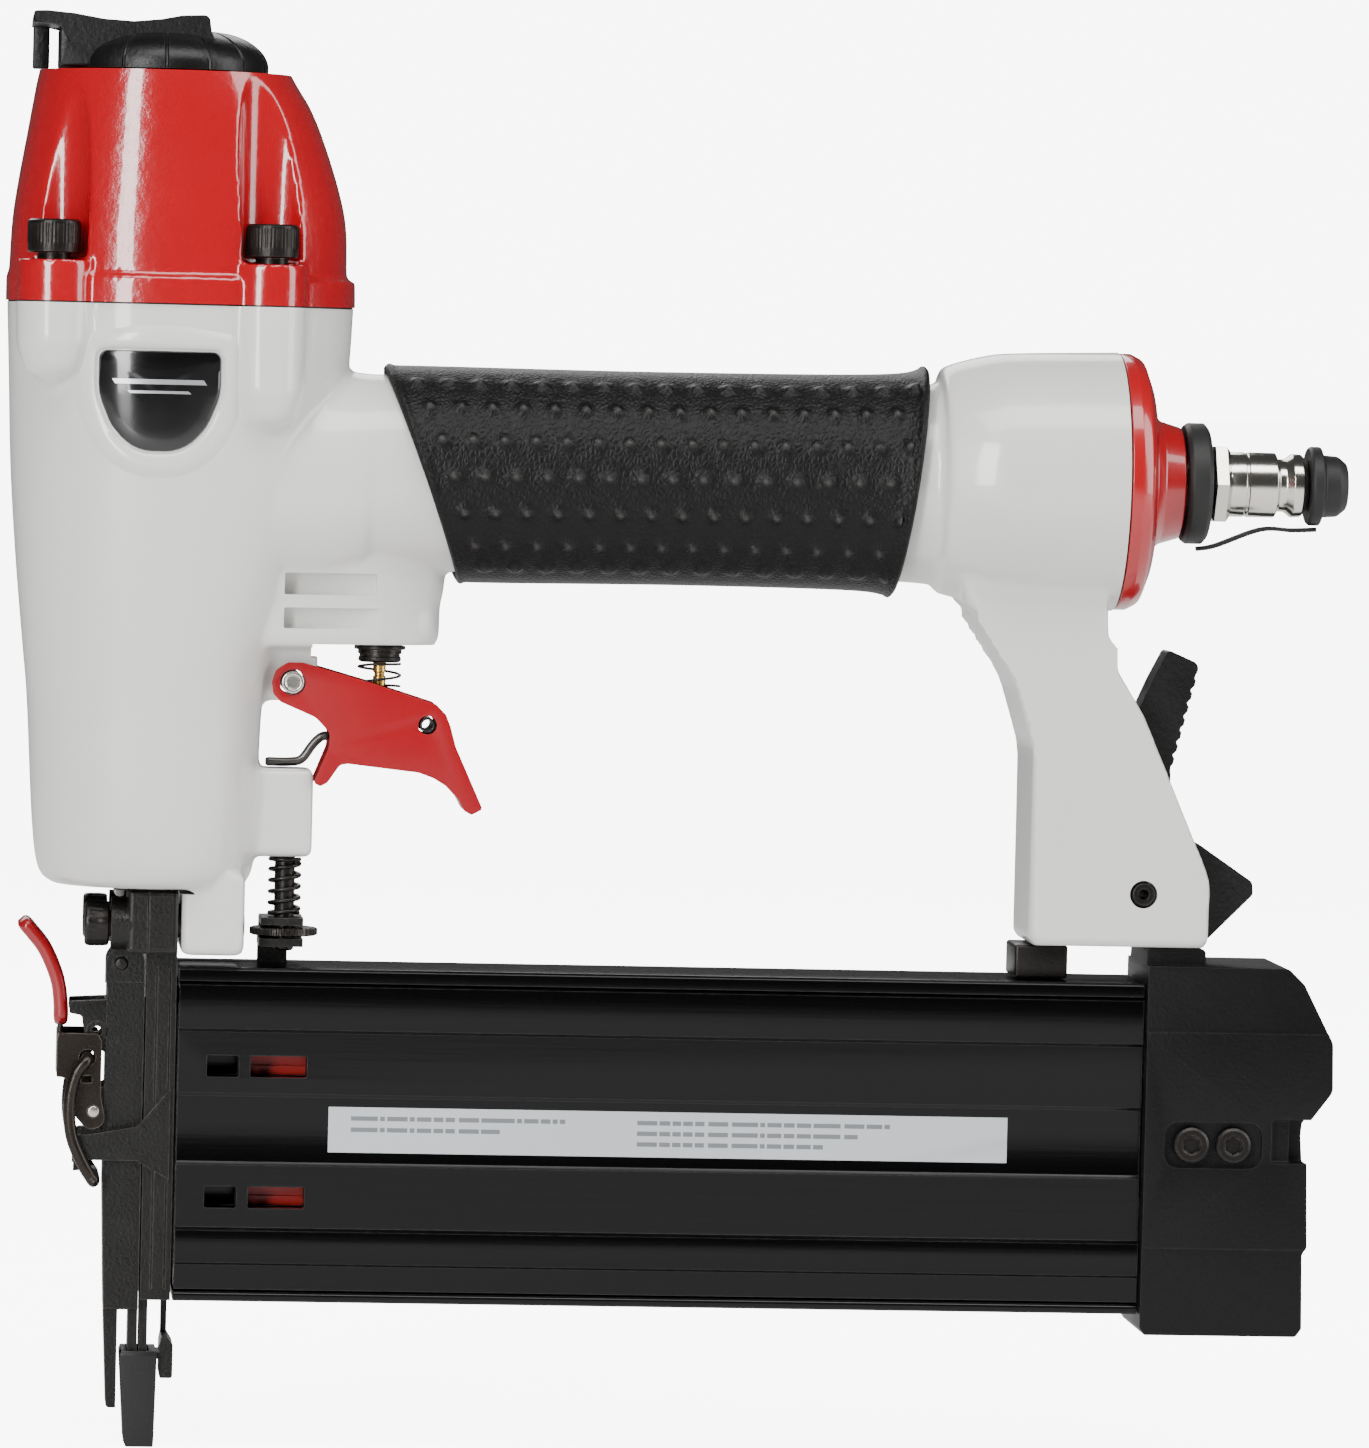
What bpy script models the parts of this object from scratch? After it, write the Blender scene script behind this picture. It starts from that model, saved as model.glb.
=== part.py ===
"""Brad nailer: a pneumatic gun that drives brads up to 50 mm long.

Sizes are in millimetres, measured from the driver's axis (x = 0, y = 0) and from the work
surface under the contact tip (z = 0); +X runs back along the handle. MM turns them into metres.
"""
import bpy
import bmesh
from math import cos, pi, radians, sin, tan
from mathutils import Matrix, Vector

MM = 0.001
GAP = 0.3
CREASE = 35                # degrees: edges sharper than this stay hard
BOX_MIDDLE = 97.8          # x of the middle of the whole tool, where the frame's origin stands

COLUMN_TOP = 212.9
CAP_TOP = 256.0
HANDLE_Z, HANDLE_END = 184.1, 180.0
BOLTS = [(sx * 20.0, sy * 22.0) for sx in (-1, 1) for sy in (-1, 1)]
BORE = 14.5                # cylinder's inner radius
DOOR_HINGE = (-4.55, 90.4)
LATCH_PIVOT, BAIL_PIVOT = (-9.25, 62.9), (-10.55, 72.9)
TRIGGER_PIVOT, TRIGGER_ROLL = (26.15, 143.4), (51.45, 135.9)
VALVE_X, ROD_X = 42.55, 25.7
RELEASE_PIVOT = (185.85, 107.2)
MAGAZINE = (6.05, 186.7, 28.2, 90.4)
CHANNEL = 3.5              # half width of the channel that holds the brads

for old in list(bpy.data.objects):
    bpy.data.objects.remove(old)
PARTS = bpy.data.collections.new("brad_nailer")
HELPERS = bpy.data.collections.new("cutters")
for group in (PARTS, HELPERS):
    bpy.context.scene.collection.children.link(group)
BODY_EMPTIES = {}


def frame_empty(name, x=0.0, z=0.0, parent=None):
    """An empty on a joint's axis, which the moving pieces hang from."""
    empty = bpy.data.objects.new(name + "_axis", None)
    PARTS.objects.link(empty)
    empty.location = Vector((x, 0, z)) * MM
    if parent:
        empty.location -= parent["at"]
        empty.parent = parent["empty"]
    BODY_EMPTIES[name] = {"empty": empty, "at": Vector((x, 0, z)) * MM}
    return BODY_EMPTIES[name]


ROOT = frame_empty("tool_frame")
ROOT["empty"].location.x = -BOX_MIDDLE * MM


def finish_mesh(name, bm):
    """A helper object from a bmesh in millimetres, until part() makes it a piece."""
    bmesh.ops.recalc_face_normals(bm, faces=bm.faces)
    bmesh.ops.scale(bm, vec=(MM, MM, MM), verts=bm.verts)
    mesh = bpy.data.meshes.new(name)
    bm.to_mesh(mesh)
    bm.free()
    mesh.shade_smooth()
    mesh.set_sharp_from_angle(angle=radians(CREASE))
    obj = bpy.data.objects.new(name, mesh)
    HELPERS.objects.link(obj)
    obj.parent = ROOT["empty"]
    obj.hide_render = True
    obj.display_type = "WIRE"
    return obj


def block(low, high, bevel=0.0):
    bm = bmesh.new()
    bmesh.ops.create_cube(bm, size=1)
    size = Vector(high) - Vector(low)
    bmesh.ops.scale(bm, vec=size, verts=bm.verts)
    bmesh.ops.translate(bm, vec=(Vector(low) + Vector(high)) / 2, verts=bm.verts)
    if bevel:
        bmesh.ops.bevel(bm, geom=bm.edges[:], offset=bevel, segments=2, affect="EDGES", profile=0.5)
    return finish_mesh("block", bm)


def rod(start, end, radius, end_radius=None, sides=20):
    bm = bmesh.new()
    run = Vector(end) - Vector(start)
    turn = run.to_track_quat("Z", "Y").to_matrix().to_4x4()
    place = Matrix.Translation((Vector(start) + Vector(end)) / 2) @ turn
    bmesh.ops.create_cone(bm, cap_ends=True, segments=sides, radius1=radius,
                          radius2=end_radius or radius, depth=run.length, matrix=place)
    return finish_mesh("rod", bm)


def from_object(source, turn, at, name):
    """The evaluated mesh of a curve or modifier, welded, as a helper in tool coordinates."""
    bpy.context.view_layer.update()
    graph = bpy.context.evaluated_depsgraph_get()
    mesh = bpy.data.meshes.new_from_object(source.evaluated_get(graph))
    bm = bmesh.new()
    bm.from_mesh(mesh)
    bmesh.ops.remove_doubles(bm, verts=bm.verts, dist=1e-3)
    bmesh.ops.transform(bm, matrix=Matrix.Translation(at) @ turn, verts=bm.verts)
    bpy.data.objects.remove(source)
    return finish_mesh(name, bm)


def turned(profile, at=(0, 0, 0), along="Z", steps=24):
    """A Screw turns the (radius, height) profile about its axis. It runs down the outer side."""
    mesh = bpy.data.meshes.new("profile")
    hollow = min(r for r, _ in profile) > 0
    count = len(profile)
    edges = [(i, (i + 1) % count) for i in range(count if hollow else count - 1)]
    mesh.from_pydata([(r, 0, h) for r, h in profile], edges, [])
    obj = bpy.data.objects.new("turned", mesh)
    HELPERS.objects.link(obj)
    screw = obj.modifiers.new("turn", "SCREW")
    screw.steps = screw.render_steps = steps
    screw.use_merge_vertices = True
    screw.merge_threshold = 1e-4
    turn = {"Z": Matrix(), "X": Matrix.Rotation(pi / 2, 4, "Y"), "Y": Matrix.Rotation(-pi / 2, 4, "X")}
    return from_object(obj, turn[along], at, "turned")


def rounded(points, step=22):
    """Replaces each (x, z, radius) corner by an arc."""
    out = []
    for i, point in enumerate(points):
        here = Vector(point[:2])
        if len(point) < 3:
            out.append(here)
            continue
        back = (Vector(points[i - 1][:2]) - here).normalized()
        ahead = (Vector(points[(i + 1) % len(points)][:2]) - here).normalized()
        half = back.angle(ahead) / 2
        centre = here + (back + ahead).normalized() * point[2] / sin(half)
        first = here + back * point[2] / tan(half) - centre
        sweep = first.angle_signed(here + ahead * point[2] / tan(half) - centre)
        count = max(2, round(abs(sweep) / radians(step)))
        for k in range(count + 1):
            angle = -sweep * k / count
            out.append(centre + Vector((first.x * cos(angle) - first.y * sin(angle),
                                        first.x * sin(angle) + first.y * cos(angle))))
    return out


def plate(outline, low, high, across="Y"):
    """A flat outline in XZ (across Y) or in YZ (across X), as thick as from low to high."""
    curve = bpy.data.curves.new("outline", "CURVE")
    curve.dimensions = "2D"
    curve.fill_mode = "BOTH"
    curve.extrude = (high - low) / 2
    points = rounded(outline)
    spline = curve.splines.new("POLY")
    spline.points.add(len(points) - 1)
    for spot, point in zip(spline.points, points):
        spot.co = (point.x, point.y, 0, 1)
    spline.use_cyclic_u = True
    obj = bpy.data.objects.new("outline", curve)
    HELPERS.objects.link(obj)
    upright = Matrix.Rotation(pi / 2, 4, "X")
    if across == "Y":
        return from_object(obj, upright, (0, (low + high) / 2, 0), "plate")
    return from_object(obj, Matrix.Rotation(pi / 2, 4, "Z") @ upright, ((low + high) / 2, 0, 0), "plate")


def tube(points, radius, resolution=1):
    curve = bpy.data.curves.new("tube", "CURVE")
    curve.dimensions = "3D"
    curve.bevel_depth = radius
    curve.bevel_resolution = resolution
    curve.use_fill_caps = True
    spline = curve.splines.new("POLY")
    spline.points.add(len(points) - 1)
    for spot, point in zip(spline.points, points):
        spot.co = (*point, 1)
    obj = bpy.data.objects.new("tube", curve)
    HELPERS.objects.link(obj)
    return from_object(obj, Matrix(), (0, 0, 0), "tube")


def smooth_path(points, per_span=4):
    """Points on a Catmull-Rom curve through the given ones."""
    p = [Vector(q) for q in points]
    p = [2 * p[0] - p[1]] + p + [2 * p[-1] - p[-2]]
    out = []
    for a, b, c, d in zip(p, p[1:], p[2:], p[3:]):
        for k in range(per_span):
            t = k / per_span
            out.append((2 * b + (c - a) * t + (2 * a - 5 * b + 4 * c - d) * t * t
                        + (3 * b - a - 3 * c + d) * t ** 3) / 2)
    return out + [p[-2]]


def coil(centre, radius, wire, low, high, turns, along="Z", per_turn=8):
    points = []
    for k in range(turns * per_turn + 1):
        a = 2 * pi * k / per_turn
        h = low + (high - low) * k / (turns * per_turn)
        flat = (radius * cos(a), radius * sin(a))
        points.append((centre[0] + flat[0], centre[1] + flat[1], h) if along == "Z"
                      else (h, centre[0] + flat[0], centre[1] + flat[1]))
    return tube(points, wire)


def loft(rings):
    """A skin over rings of equally many points, closed by a flat face at both ends."""
    bm = bmesh.new()
    made = [[bm.verts.new(p) for p in ring] for ring in rings]
    count = len(made[0])
    for one, two in zip(made, made[1:]):
        for i in range(count):
            bm.faces.new((one[i], one[(i + 1) % count], two[(i + 1) % count], two[i]))
    bm.faces.new(made[0])
    bm.faces.new(made[-1])
    return finish_mesh("loft", bm)


def egg(z, front, rear, side, count=24):
    """A level ring: a half ellipse in front of the axis and a longer one behind it."""
    angles = [2 * pi * k / count for k in range(count)]
    return [((rear if cos(a) > 0 else front) * cos(a), side * sin(a), z) for a in angles]


def oval(x, middle, tall, wide, lean=0.0, count=20):
    """An upright ring across the handle; lean tips its top forward."""
    angles = [2 * pi * k / count for k in range(count)]
    return [(x - lean * tall * sin(a), wide * cos(a), middle + tall * sin(a)) for a in angles]


def boolean(target, other, operation):
    modifier = target.modifiers.new(operation.lower(), "BOOLEAN")
    modifier.operation = operation
    modifier.object = other
    return target


def cut(target, *others):
    for other in others:
        boolean(target, other, "DIFFERENCE")
    return target


def join(target, *others):
    for other in others:
        boolean(target, other, "UNION")
    return target


def part(name, obj, colour, body="tool_frame", rough=0.5, metal=0.0):
    """Makes a helper a named piece with its material, hung from its body's empty."""
    HELPERS.objects.unlink(obj)
    PARTS.objects.link(obj)
    obj.hide_render = False
    obj.display_type = "TEXTURED"
    obj.name = obj.data.name = name
    weld = obj.modifiers.new("weld", "WELD")
    weld.merge_threshold = 1e-5
    holder = BODY_EMPTIES[body]
    obj.parent = holder["empty"]
    obj.location = -holder["at"] if body != "tool_frame" else (0, 0, 0)
    look = bpy.data.materials.new(name)
    look.use_nodes = True
    shader = look.node_tree.nodes["Principled BSDF"]
    shader.inputs["Base Color"].default_value = (*colour, 1)
    shader.inputs["Roughness"].default_value = rough
    shader.inputs["Metallic"].default_value = metal
    obj.data.materials.append(look)
    return obj


WHITE, RED, BLACK = (0.62, 0.62, 0.60), (0.65, 0.015, 0.02), (0.015, 0.015, 0.016)
RUBBER, STEEL, BRASS = (0.01, 0.01, 0.01), (0.45, 0.43, 0.4), (0.65, 0.42, 0.12)
PHOSPHATE, SILVER, ALUMINIUM = (0.022, 0.02, 0.018), (0.6, 0.62, 0.64), (0.55, 0.55, 0.56)

# ---- joints' empties --------------------------------------------------------------------
for body, x, z in [("deflector", 0, CAP_TOP), ("head_valve", 0, 215), ("driver", 0, 200),
                   ("trigger", *TRIGGER_PIVOT), ("valve_stem", VALVE_X, 150), ("safety", ROD_X, 95),
                   ("nose_door", *DOOR_HINGE), ("magazine_slide", 186, 60),
                   ("release_lever", *RELEASE_PIVOT), ("dust_cap", 216, HANDLE_Z)]:
    frame_empty(body, x, z, ROOT)
for body, x, z, holder in [("rocker", *TRIGGER_ROLL, "trigger"), ("depth_wheel", ROD_X, 97, "safety"),
                           ("latch_lever", *LATCH_PIVOT, "nose_door"),
                           ("latch_bail", *BAIL_PIVOT, "nose_door"),
                           ("pusher", 40, 55, "magazine_slide")]:
    frame_empty(body, x, z, BODY_EMPTIES[holder])


# ---- main casting -----------------------------------------------------------------------
def body_housing():
    column = [(105, 17, 16.4), (105.6, 18.8, 17.9), (107.5, 20.3, 19.4), (116.5, 21.7, 20.1),
              (139, 23.1, 20.8), (150, 24.2, 22.8), (165, 25.7, 27.5), (182, 27, 32.5),
              (200, 27.7, 35.4), (COLUMN_TOP, 28.2, 36.2)]
    shell = loft([egg(z, front, rear, front) for z, front, rear in column])
    neck = loft([oval(0, 182, 20, 20), oval(26, 180.6, 21.5, 19.5), oval(38, 181.6, 19.6, 17.4),
                 oval(44, 182.65, 18.35, 16.5), oval(141, 182.65, 18.35, 16.5),
                 oval(147, 183.6, 21.2, 19.4), oval(154.7, 183.9, 23.2, 22.6),
                 oval(161, 184, 23.8, 23.6), oval(HANDLE_END, HANDLE_Z, 24.1, 24.1)])
    valve_boss = loft([egg(z, 24, r, w) for z, r, w in
                       [(150.7, 52.4, 12.6), (152, 53.4, 13.2), (158, 53.6, 13.4),
                        (162, 54.4, 14.2), (172, 54.6, 15)]])
    leg = plate([(148, 175), (151.3, 161), (154.2, 158.9), (160.9, 145.9, 14), (164.5, 134, 10),
                 (164.5, 98.4), (165.7, 97.3), (197.3, 97.3), (198.5, 98.4), (198.5, 110, 12),
                 (185.2, 140.6), (178.2, 152, 12), (177.6, 175)], -13.2, 13.2)
    guide = block((16, -5.4, 110.8), (30.4, 5.4, 127.1), 0.9)
    lug = block((14, -4.6, 139.85), (26, 4.6, 153))
    lug_tip = rod((TRIGGER_PIVOT[0], -4.5, TRIGGER_PIVOT[1]), (TRIGGER_PIVOT[0], 4.5, TRIGGER_PIVOT[1]),
                  3.7)
    lug_root = block((25, -4.4, 144.1), (30.8, 4.4, 152.6))
    foot = block((6.05, -14.2, 92.6), (17.85, 14.2, 108), 1.2)
    pad = block((-6.2, -4.8, 102.8), (-4.2, 4.8, 106.5))
    shell = join(shell, neck, valve_boss, leg, guide, lug, lug_tip, lug_root, foot, pad)
    for x, y in BOLTS:
        low = 198.5 if x < 0 else 190
        boss = turned([(0, COLUMN_TOP), (7.2, COLUMN_TOP), (7.2, low + 6), (5, low + 2), (0, low)],
                      (x * 0.97, y * 0.95, 0), steps=14)
        join(shell, boss)
    chamber = loft([egg(z, front, rear, front) for z, front, rear in
                    [(152, 21, 20), (156, 22, 23), (200, 24, 31), (COLUMN_TOP + 1, 24, 31)]])
    reservoir = loft([oval(12, 182.5, 12.5, 12.5), oval(44, 182.65, 15.4, 13.4),
                      oval(141, 182.65, 15.4, 13.4), oval(158, 184, 20.4, 20.4),
                      oval(171, HANDLE_Z, 20.6, 20.6), oval(171.1, HANDLE_Z, 21.6, 21.6),
                      oval(HANDLE_END + 1, HANDLE_Z, 21.6, 21.6)])
    cut(shell, rod((0, 0, 108), (0, 0, 153), 16.8, sides=32), chamber, reservoir,
        block((-1.2, -3.6, 100), (1.2, 3.6, 109)),
        rod((0, 0, 106.4), (0, 0, 109), 5.6),
        rod((VALVE_X, 0, 149), (VALVE_X, 0, 172), 4.4),
        rod((ROD_X, 0, 109), (ROD_X, 0, 128), 2.3),
        rod((TRIGGER_PIVOT[0], -8, TRIGGER_PIVOT[1]), (TRIGGER_PIVOT[0], 8, TRIGGER_PIVOT[1]), 2.4),
        rod((RELEASE_PIVOT[0], -15, RELEASE_PIVOT[1]), (RELEASE_PIVOT[0], 15, RELEASE_PIVOT[1]), 2.6))
    slot = plate([(181.2, 90), (181.2, 116), (177.6, 146), (178, 150.5), (215, 150.5), (215, 90)],
                 -4.6, 4.6)
    cut(shell, slot)
    for y in (-10.5, 10.5):
        cut(shell, rod((4, y, 98.2), (20, y, 98.2), 2.8, sides=16))
    for side in (-1, 1):
        for low, high, end in [(154, 157, 43.5), (159.8, 163.4, 40.5)]:
            inner, outer = sorted((side * 9.6, side * 20))
            cut(shell, block((24, inner, low), (end, outer, high)))
    part("body_housing", shell, WHITE, rough=0.25)


# ---- head: cap, gasket, bolts, deflector, valve -------------------------------------------
def head_pieces():
    levels = [(213.2, 28.5, 36.5), (218.2, 28.5, 36.4), (218.6, 28.2, 34.8), (228, 27.6, 34.5),
              (235, 26.7, 33), (244, 25.2, 30), (250, 24.2, 27.4), (254.6, 23.4, 24.6),
              (CAP_TOP, 22.4, 22.6)]
    cap = loft([egg(z, front, rear, min(front * 1.02, 28.8)) for z, front, rear in levels])
    for x, y in BOLTS:
        join(cap, rod((x * 0.97, y * 0.95, 213.2), (x * 0.97, y * 0.95, 220.8), 7.2))
    for x, y in BOLTS:
        cut(cap, rod((x, y, 220.9), (x * 1.12, y * 1.12, 262), 6.2, 7.4))
        cut(cap, rod((x, y, 212), (x, y, 223), 3.4, sides=16))
    cavity = turned([(0, 252), (6, 252), (6, 246.5), (9, 246.5), (9, 234), (19.2, 234), (19.2, 212),
                     (0, 212)])
    cut(cap, cavity, rod((0, 0, 250), (0, 0, 258), 5, sides=24))
    part("head_cap", cap, RED, rough=0.22)

    gasket = cut(loft([egg(z, 26.2, 34.2, 26.2) for z in (212.95, 213.15)]),
                 loft([egg(z, 24.3, 31.3, 24.3) for z in (212, 214)]))
    part("head_gasket", gasket, RUBBER)

    for number, (x, y) in enumerate(BOLTS, 1):
        bolt = turned([(0, 228.1), (4.5, 228.1), (5, 227.4), (5, 222), (3, 222), (3, 213.4), (0, 213.4)],
                      (x, y, 0), steps=14)
        cut(bolt, rod((x, y, 225.4), (x, y, 229), 2.9, sides=6))
        part(f"head_screw_{number}", bolt, BLACK, metal=0.8)

    dome = turned([(0, 262.4), (9, 262.4), (14, 261.2), (18.4, 258.4), (19.4, 256.3), (0, 256.3)], steps=32)
    hood = plate([(-24.4, 266.5, 0.6), (-22, 266.6), (-6, 265.2, 20), (5, 266.5, 1.5), (8.2, 263.6, 1.5),
                  (9.5, 260.5), (-18, 260.5), (-19.2, 264.4), (-24.6, 264.4)], -13.5, 13.5)
    legs = block((-24.3, 10.2, 256.4), (-21.2, 13.5, 265))
    join(dome, hood, legs)
    mouth = block((-30, -10.5, 257.9), (-6, 10.2, 263.2))
    cut(dome, mouth, rod((0, 0, 255), (0, 0, 268), 3.4), rod((0, 0, 259.5), (0, 0, 268), 6.2, sides=24),
        turned([(0, 259.3), (4.6, 259.3), (4.6, 255), (0, 255)]))
    part("exhaust_deflector", dome, BLACK, "deflector", rough=0.35)

    screw = turned([(0, 263.6), (4.6, 263.2), (5.4, 261.8), (5.4, 259.9), (2.9, 259.9), (2.9, 254.6),
                    (0, 254.6)])
    part("deflector_screw", cut(screw, rod((0, 0, 261.4), (0, 0, 265), 2.2, sides=6)), STEEL, metal=0.9)

    valve = turned([(5.4, 242), (8.6, 242), (8.6, 228.4), (18.6, 228.4), (18.6, 213.6), (12.8, 213.6),
                    (12.8, 223), (5.4, 223)])
    part("head_valve", valve, ALUMINIUM, "head_valve", metal=0.8)
    part("head_valve_spring", coil((0, 0), 13, 0.6, 229.4, 233.1, 2, per_turn=12), STEEL, metal=0.9)


# ---- cylinder, piston and bumper --------------------------------------------------------
def drive_pieces():
    part("cylinder", turned([(16.4, 210.4), (18.6, 210.4), (18.6, 206), (16.4, 205.4), (16.4, 108.3),
                             (BORE, 108.3), (BORE, 210.4)]), ALUMINIUM, metal=0.9)
    part("cylinder_seal", turned([(14.8, 213.2), (18.4, 213.2), (18.4, 210.8), (14.8, 210.8)]), RUBBER)
    part("bumper", turned([(6.2, 117.6), (12.4, 117.6), (14.1, 114.5), (14.1, 108.4), (6.2, 108.4)]),
         RUBBER)
    piston = turned([(0, 205.2), (14.2, 205.2), (14.2, 202), (12.6, 202), (12.6, 199), (14.2, 199),
                     (14.2, 196), (5, 195), (5, 188), (0, 188)])
    cut(piston, block((-1, -3.3, 187), (1, 3.3, 194.3)))
    part("piston", piston, ALUMINIUM, "driver", metal=0.9)
    part("piston_ring", turned([(12.9, 201.7), (14.2, 201.7), (14.2, 199.3), (12.9, 199.3)]), RUBBER,
         "driver")
    part("driver_blade", block((-0.65, -3, 84), (0.65, 3, 194)), STEEL, "driver", metal=1)


# ---- nose ---------------------------------------------------------------------------------
def nose_pieces():
    base = block((0.15, -8.6, 27.9), (5.75, 8.6, 95))
    join(base, block((-3.85, -9.2, 93.6), (5.7, 9.2, 104.7), 0.5),
         block((0.15, -4.6, 7.4), (1.7, 4.6, 30)),
         plate([(-3.85, 97), (-6.6, 92), (-7.2, 89.4), (-4.6, 87.8, 1), (-2, 88.4), (-1.8, 97)], -3.9, 3.9))
    for side in (-1, 1):
        join(base, rod((-6.75, side * 10.5, 98.2), (5.6, side * 10.5, 98.2), 5.3),
             plate([(-12.7, 59, 1.5), (-10.4, 58.6), (-1, 60.3), (5, 67.3), (5, 50.5), (-1, 53.9),
                    (-10.2, 53.9),
                    (-10.4, 52.1), (-12.8, 51.9)], *sorted((side * 7.1, side * 9.2))))
    cut(base, block((-1, -3.3, 6), (0.95, 3.3, 106)), block((-1, -CHANNEL, 29.6), (7, CHANNEL, 81)),
        block((4.1, 3.45, 20), (7, 8.1, 96)),
        rod((DOOR_HINGE[0], -9, DOOR_HINGE[1]), (DOOR_HINGE[0], 9, DOOR_HINGE[1]), 1.6))
    for y in (-10.5, 10.5):
        cut(base, rod((-8, y, 98.2), (7, y, 98.2), 2.8, sides=16))
    part("nose_base", base, PHOSPHATE, rough=0.45, metal=0.6)

    door = plate([(-7.1, 87), (-7.25, 49), (-6.6, 26), (-5.75, 7.2), (-0.15, 7.2), (-0.15, 87)], -6.7, 6.7)
    for side in (-1, 1):
        join(door, plate([(-7.3, 86), (-7.3, 91.4, 2.6), (-6, 93.2, 1.5), (-3, 93.2, 1.5), (-1.8, 91, 2),
                          (-1.6, 86)],
                         *sorted((side * 4.2, side * 6.6))),
             plate([(-6.5, 58.8), (-10, 60.3, 1.5), (-11.8, 62.9, 1.5), (-10, 66, 1.5), (-6.5, 68)],
                   *sorted((side * 4.4, side * 6.5))))
        inner, outer = sorted((side * 4.65, side * 9))
        cut(door, block((-9, inner, 6), (1, outer, 26)))
    cut(door, block((-3.9, -9, 6), (-1.95, 9, 25.6)), block((-3, -9, 6), (1, 9, 14.4)),
        block((-0.95, -3.3, 6), (1, 3.3, 88)),
        rod((DOOR_HINGE[0], -9, DOOR_HINGE[1]), (DOOR_HINGE[0], 9, DOOR_HINGE[1]), 1.6),
        rod((LATCH_PIVOT[0], -9, LATCH_PIVOT[1]), (LATCH_PIVOT[0], 9, LATCH_PIVOT[1]), 1.4))
    part("nose_door", door, PHOSPHATE, "nose_door", rough=0.45, metal=0.6)

    part("nose_hinge_pin", rod((DOOR_HINGE[0], -7.2, DOOR_HINGE[1]), (DOOR_HINGE[0], 7.2, DOOR_HINGE[1]),
                               1.3), STEEL, metal=1)
    for number, y in enumerate((-10.5, 10.5), 1):
        screw = turned([(0, -11.7), (3.9, -11.7), (4.35, -11.2), (4.35, -7.1), (2.5, -7.1), (2.5, 18.1),
                        (0, 18.1)][::-1],
                       (0, y, 98.2), "X", steps=14)
        cut(screw, rod((-13, y, 98.2), (-9.2, y, 98.2), 2.3, sides=6))
        part(f"nose_screw_{number}", screw, BLACK, metal=0.8)


# ---- latch on the nose door ---------------------------------------------------------------
def strip(path, half_thick, half_wide):
    """A flat bar that follows a path in the XZ plane."""
    rings = []
    for i, p in enumerate(path):
        p = Vector(p)
        run = (Vector(path[min(i + 1, len(path) - 1)]) - Vector(path[max(i - 1, 0)])).normalized()
        side = Vector((run.z, 0, -run.x)) * half_thick
        soft = min(half_thick, half_wide) * 0.5
        corners = [(1, -1 + soft / half_wide), (0.5, -1), (-0.5, -1), (-1, -1 + soft / half_wide),
                   (-1, 1 - soft / half_wide), (-0.5, 1), (0.5, 1), (1, 1 - soft / half_wide)]
        rings.append([p + side * a + Vector((0, half_wide * b, 0)) for a, b in corners])
    return loft(rings)


# ---- contact safety -------------------------------------------------------------------------
def safety_pieces():
    arm = block((4.4, 3.8, 20), (5.5, 7.8, 88))
    join(arm, plate([(4.4, 82.4), (26.6, 82.4), (26.6, 95.3), (21, 95.3), (21, 85.2), (4.4, 85.2)], 3.85,
                    5.0),
         block((21, -4.4, 93.9), (29.2, 7.9, 95.4)), block((21.3, -4.4, 97.9), (29.2, 7.9, 99.3)),
         block((21.2, 6.7, 94.1), (26.4, 7.8, 99.1)),
         plate([(4.4, 20.6), (5.5, 20.6), (6.6, 18.9), (6.6, 12.8, 0.5), (4.1, 12.8, 0.5), (4.1, 19)],
               -4.4, 7.8))
    join(arm, block((3.4, -4.4, 16.4), (4.6, 4.4, 17.6)))
    cut(arm, rod((ROD_X, 0, 90), (ROD_X, 0, 101), 2.25))
    part("contact_arm", arm, PHOSPHATE, "safety", metal=0.6)
    tip = loft([[(a + (b - a) * (k in (1, 2)), w * (1 if k > 1 else -1), z) for k in range(4)]
                for z, a, b, w in [(0, -1.9, 3.2, 5.7), (1.2, -2.4, 3.3, 5.9), (17.2, -3.4, 3.6, 6.2),
                                   (18, -3.1, 3.4, 6)]])
    cut(tip, loft([[(a + (b - a) * (k in (1, 2)), 4.95 * (1 if k > 1 else -1), z) for k in range(4)]
                   for z, a, b in [(-1, -1.1, 2.1), (7, -2.0, 2.05), (20, -2.05, 2.05)]]),
        block((3.1, -4.7, 16.1), (5, 4.7, 17.9)))
    part("contact_tip", tip, RUBBER, "safety")
    part("safety_rod", rod((ROD_X, 0, 93), (ROD_X, 0, 127), 1.9), BLACK, "safety", rough=0.4, metal=0.7)
    wheel = rod((ROD_X, 0, 95.9), (ROD_X, 0, 97.4), 6.35, sides=36)
    part("depth_wheel", cut(wheel, rod((ROD_X, 0, 95), (ROD_X, 0, 99), 2.25)), BLACK, "depth_wheel",
         metal=0.7)
    part("safety_spring", coil((ROD_X, 0), 2.75, 0.4, 99.9, 110.2, 6), BLACK, metal=0.8)
    hook = smooth_path([(21.6, 0, 128.3), (26, 0, 128.3), (28.4, 0, 128.9), (30.4, 0, 131.6),
                        (32, 0, 133.1), (33.4, 0, 133.3)], 2)
    part("safety_wire", tube(hook, 0.85), STEEL, "safety", metal=0.9)


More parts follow.
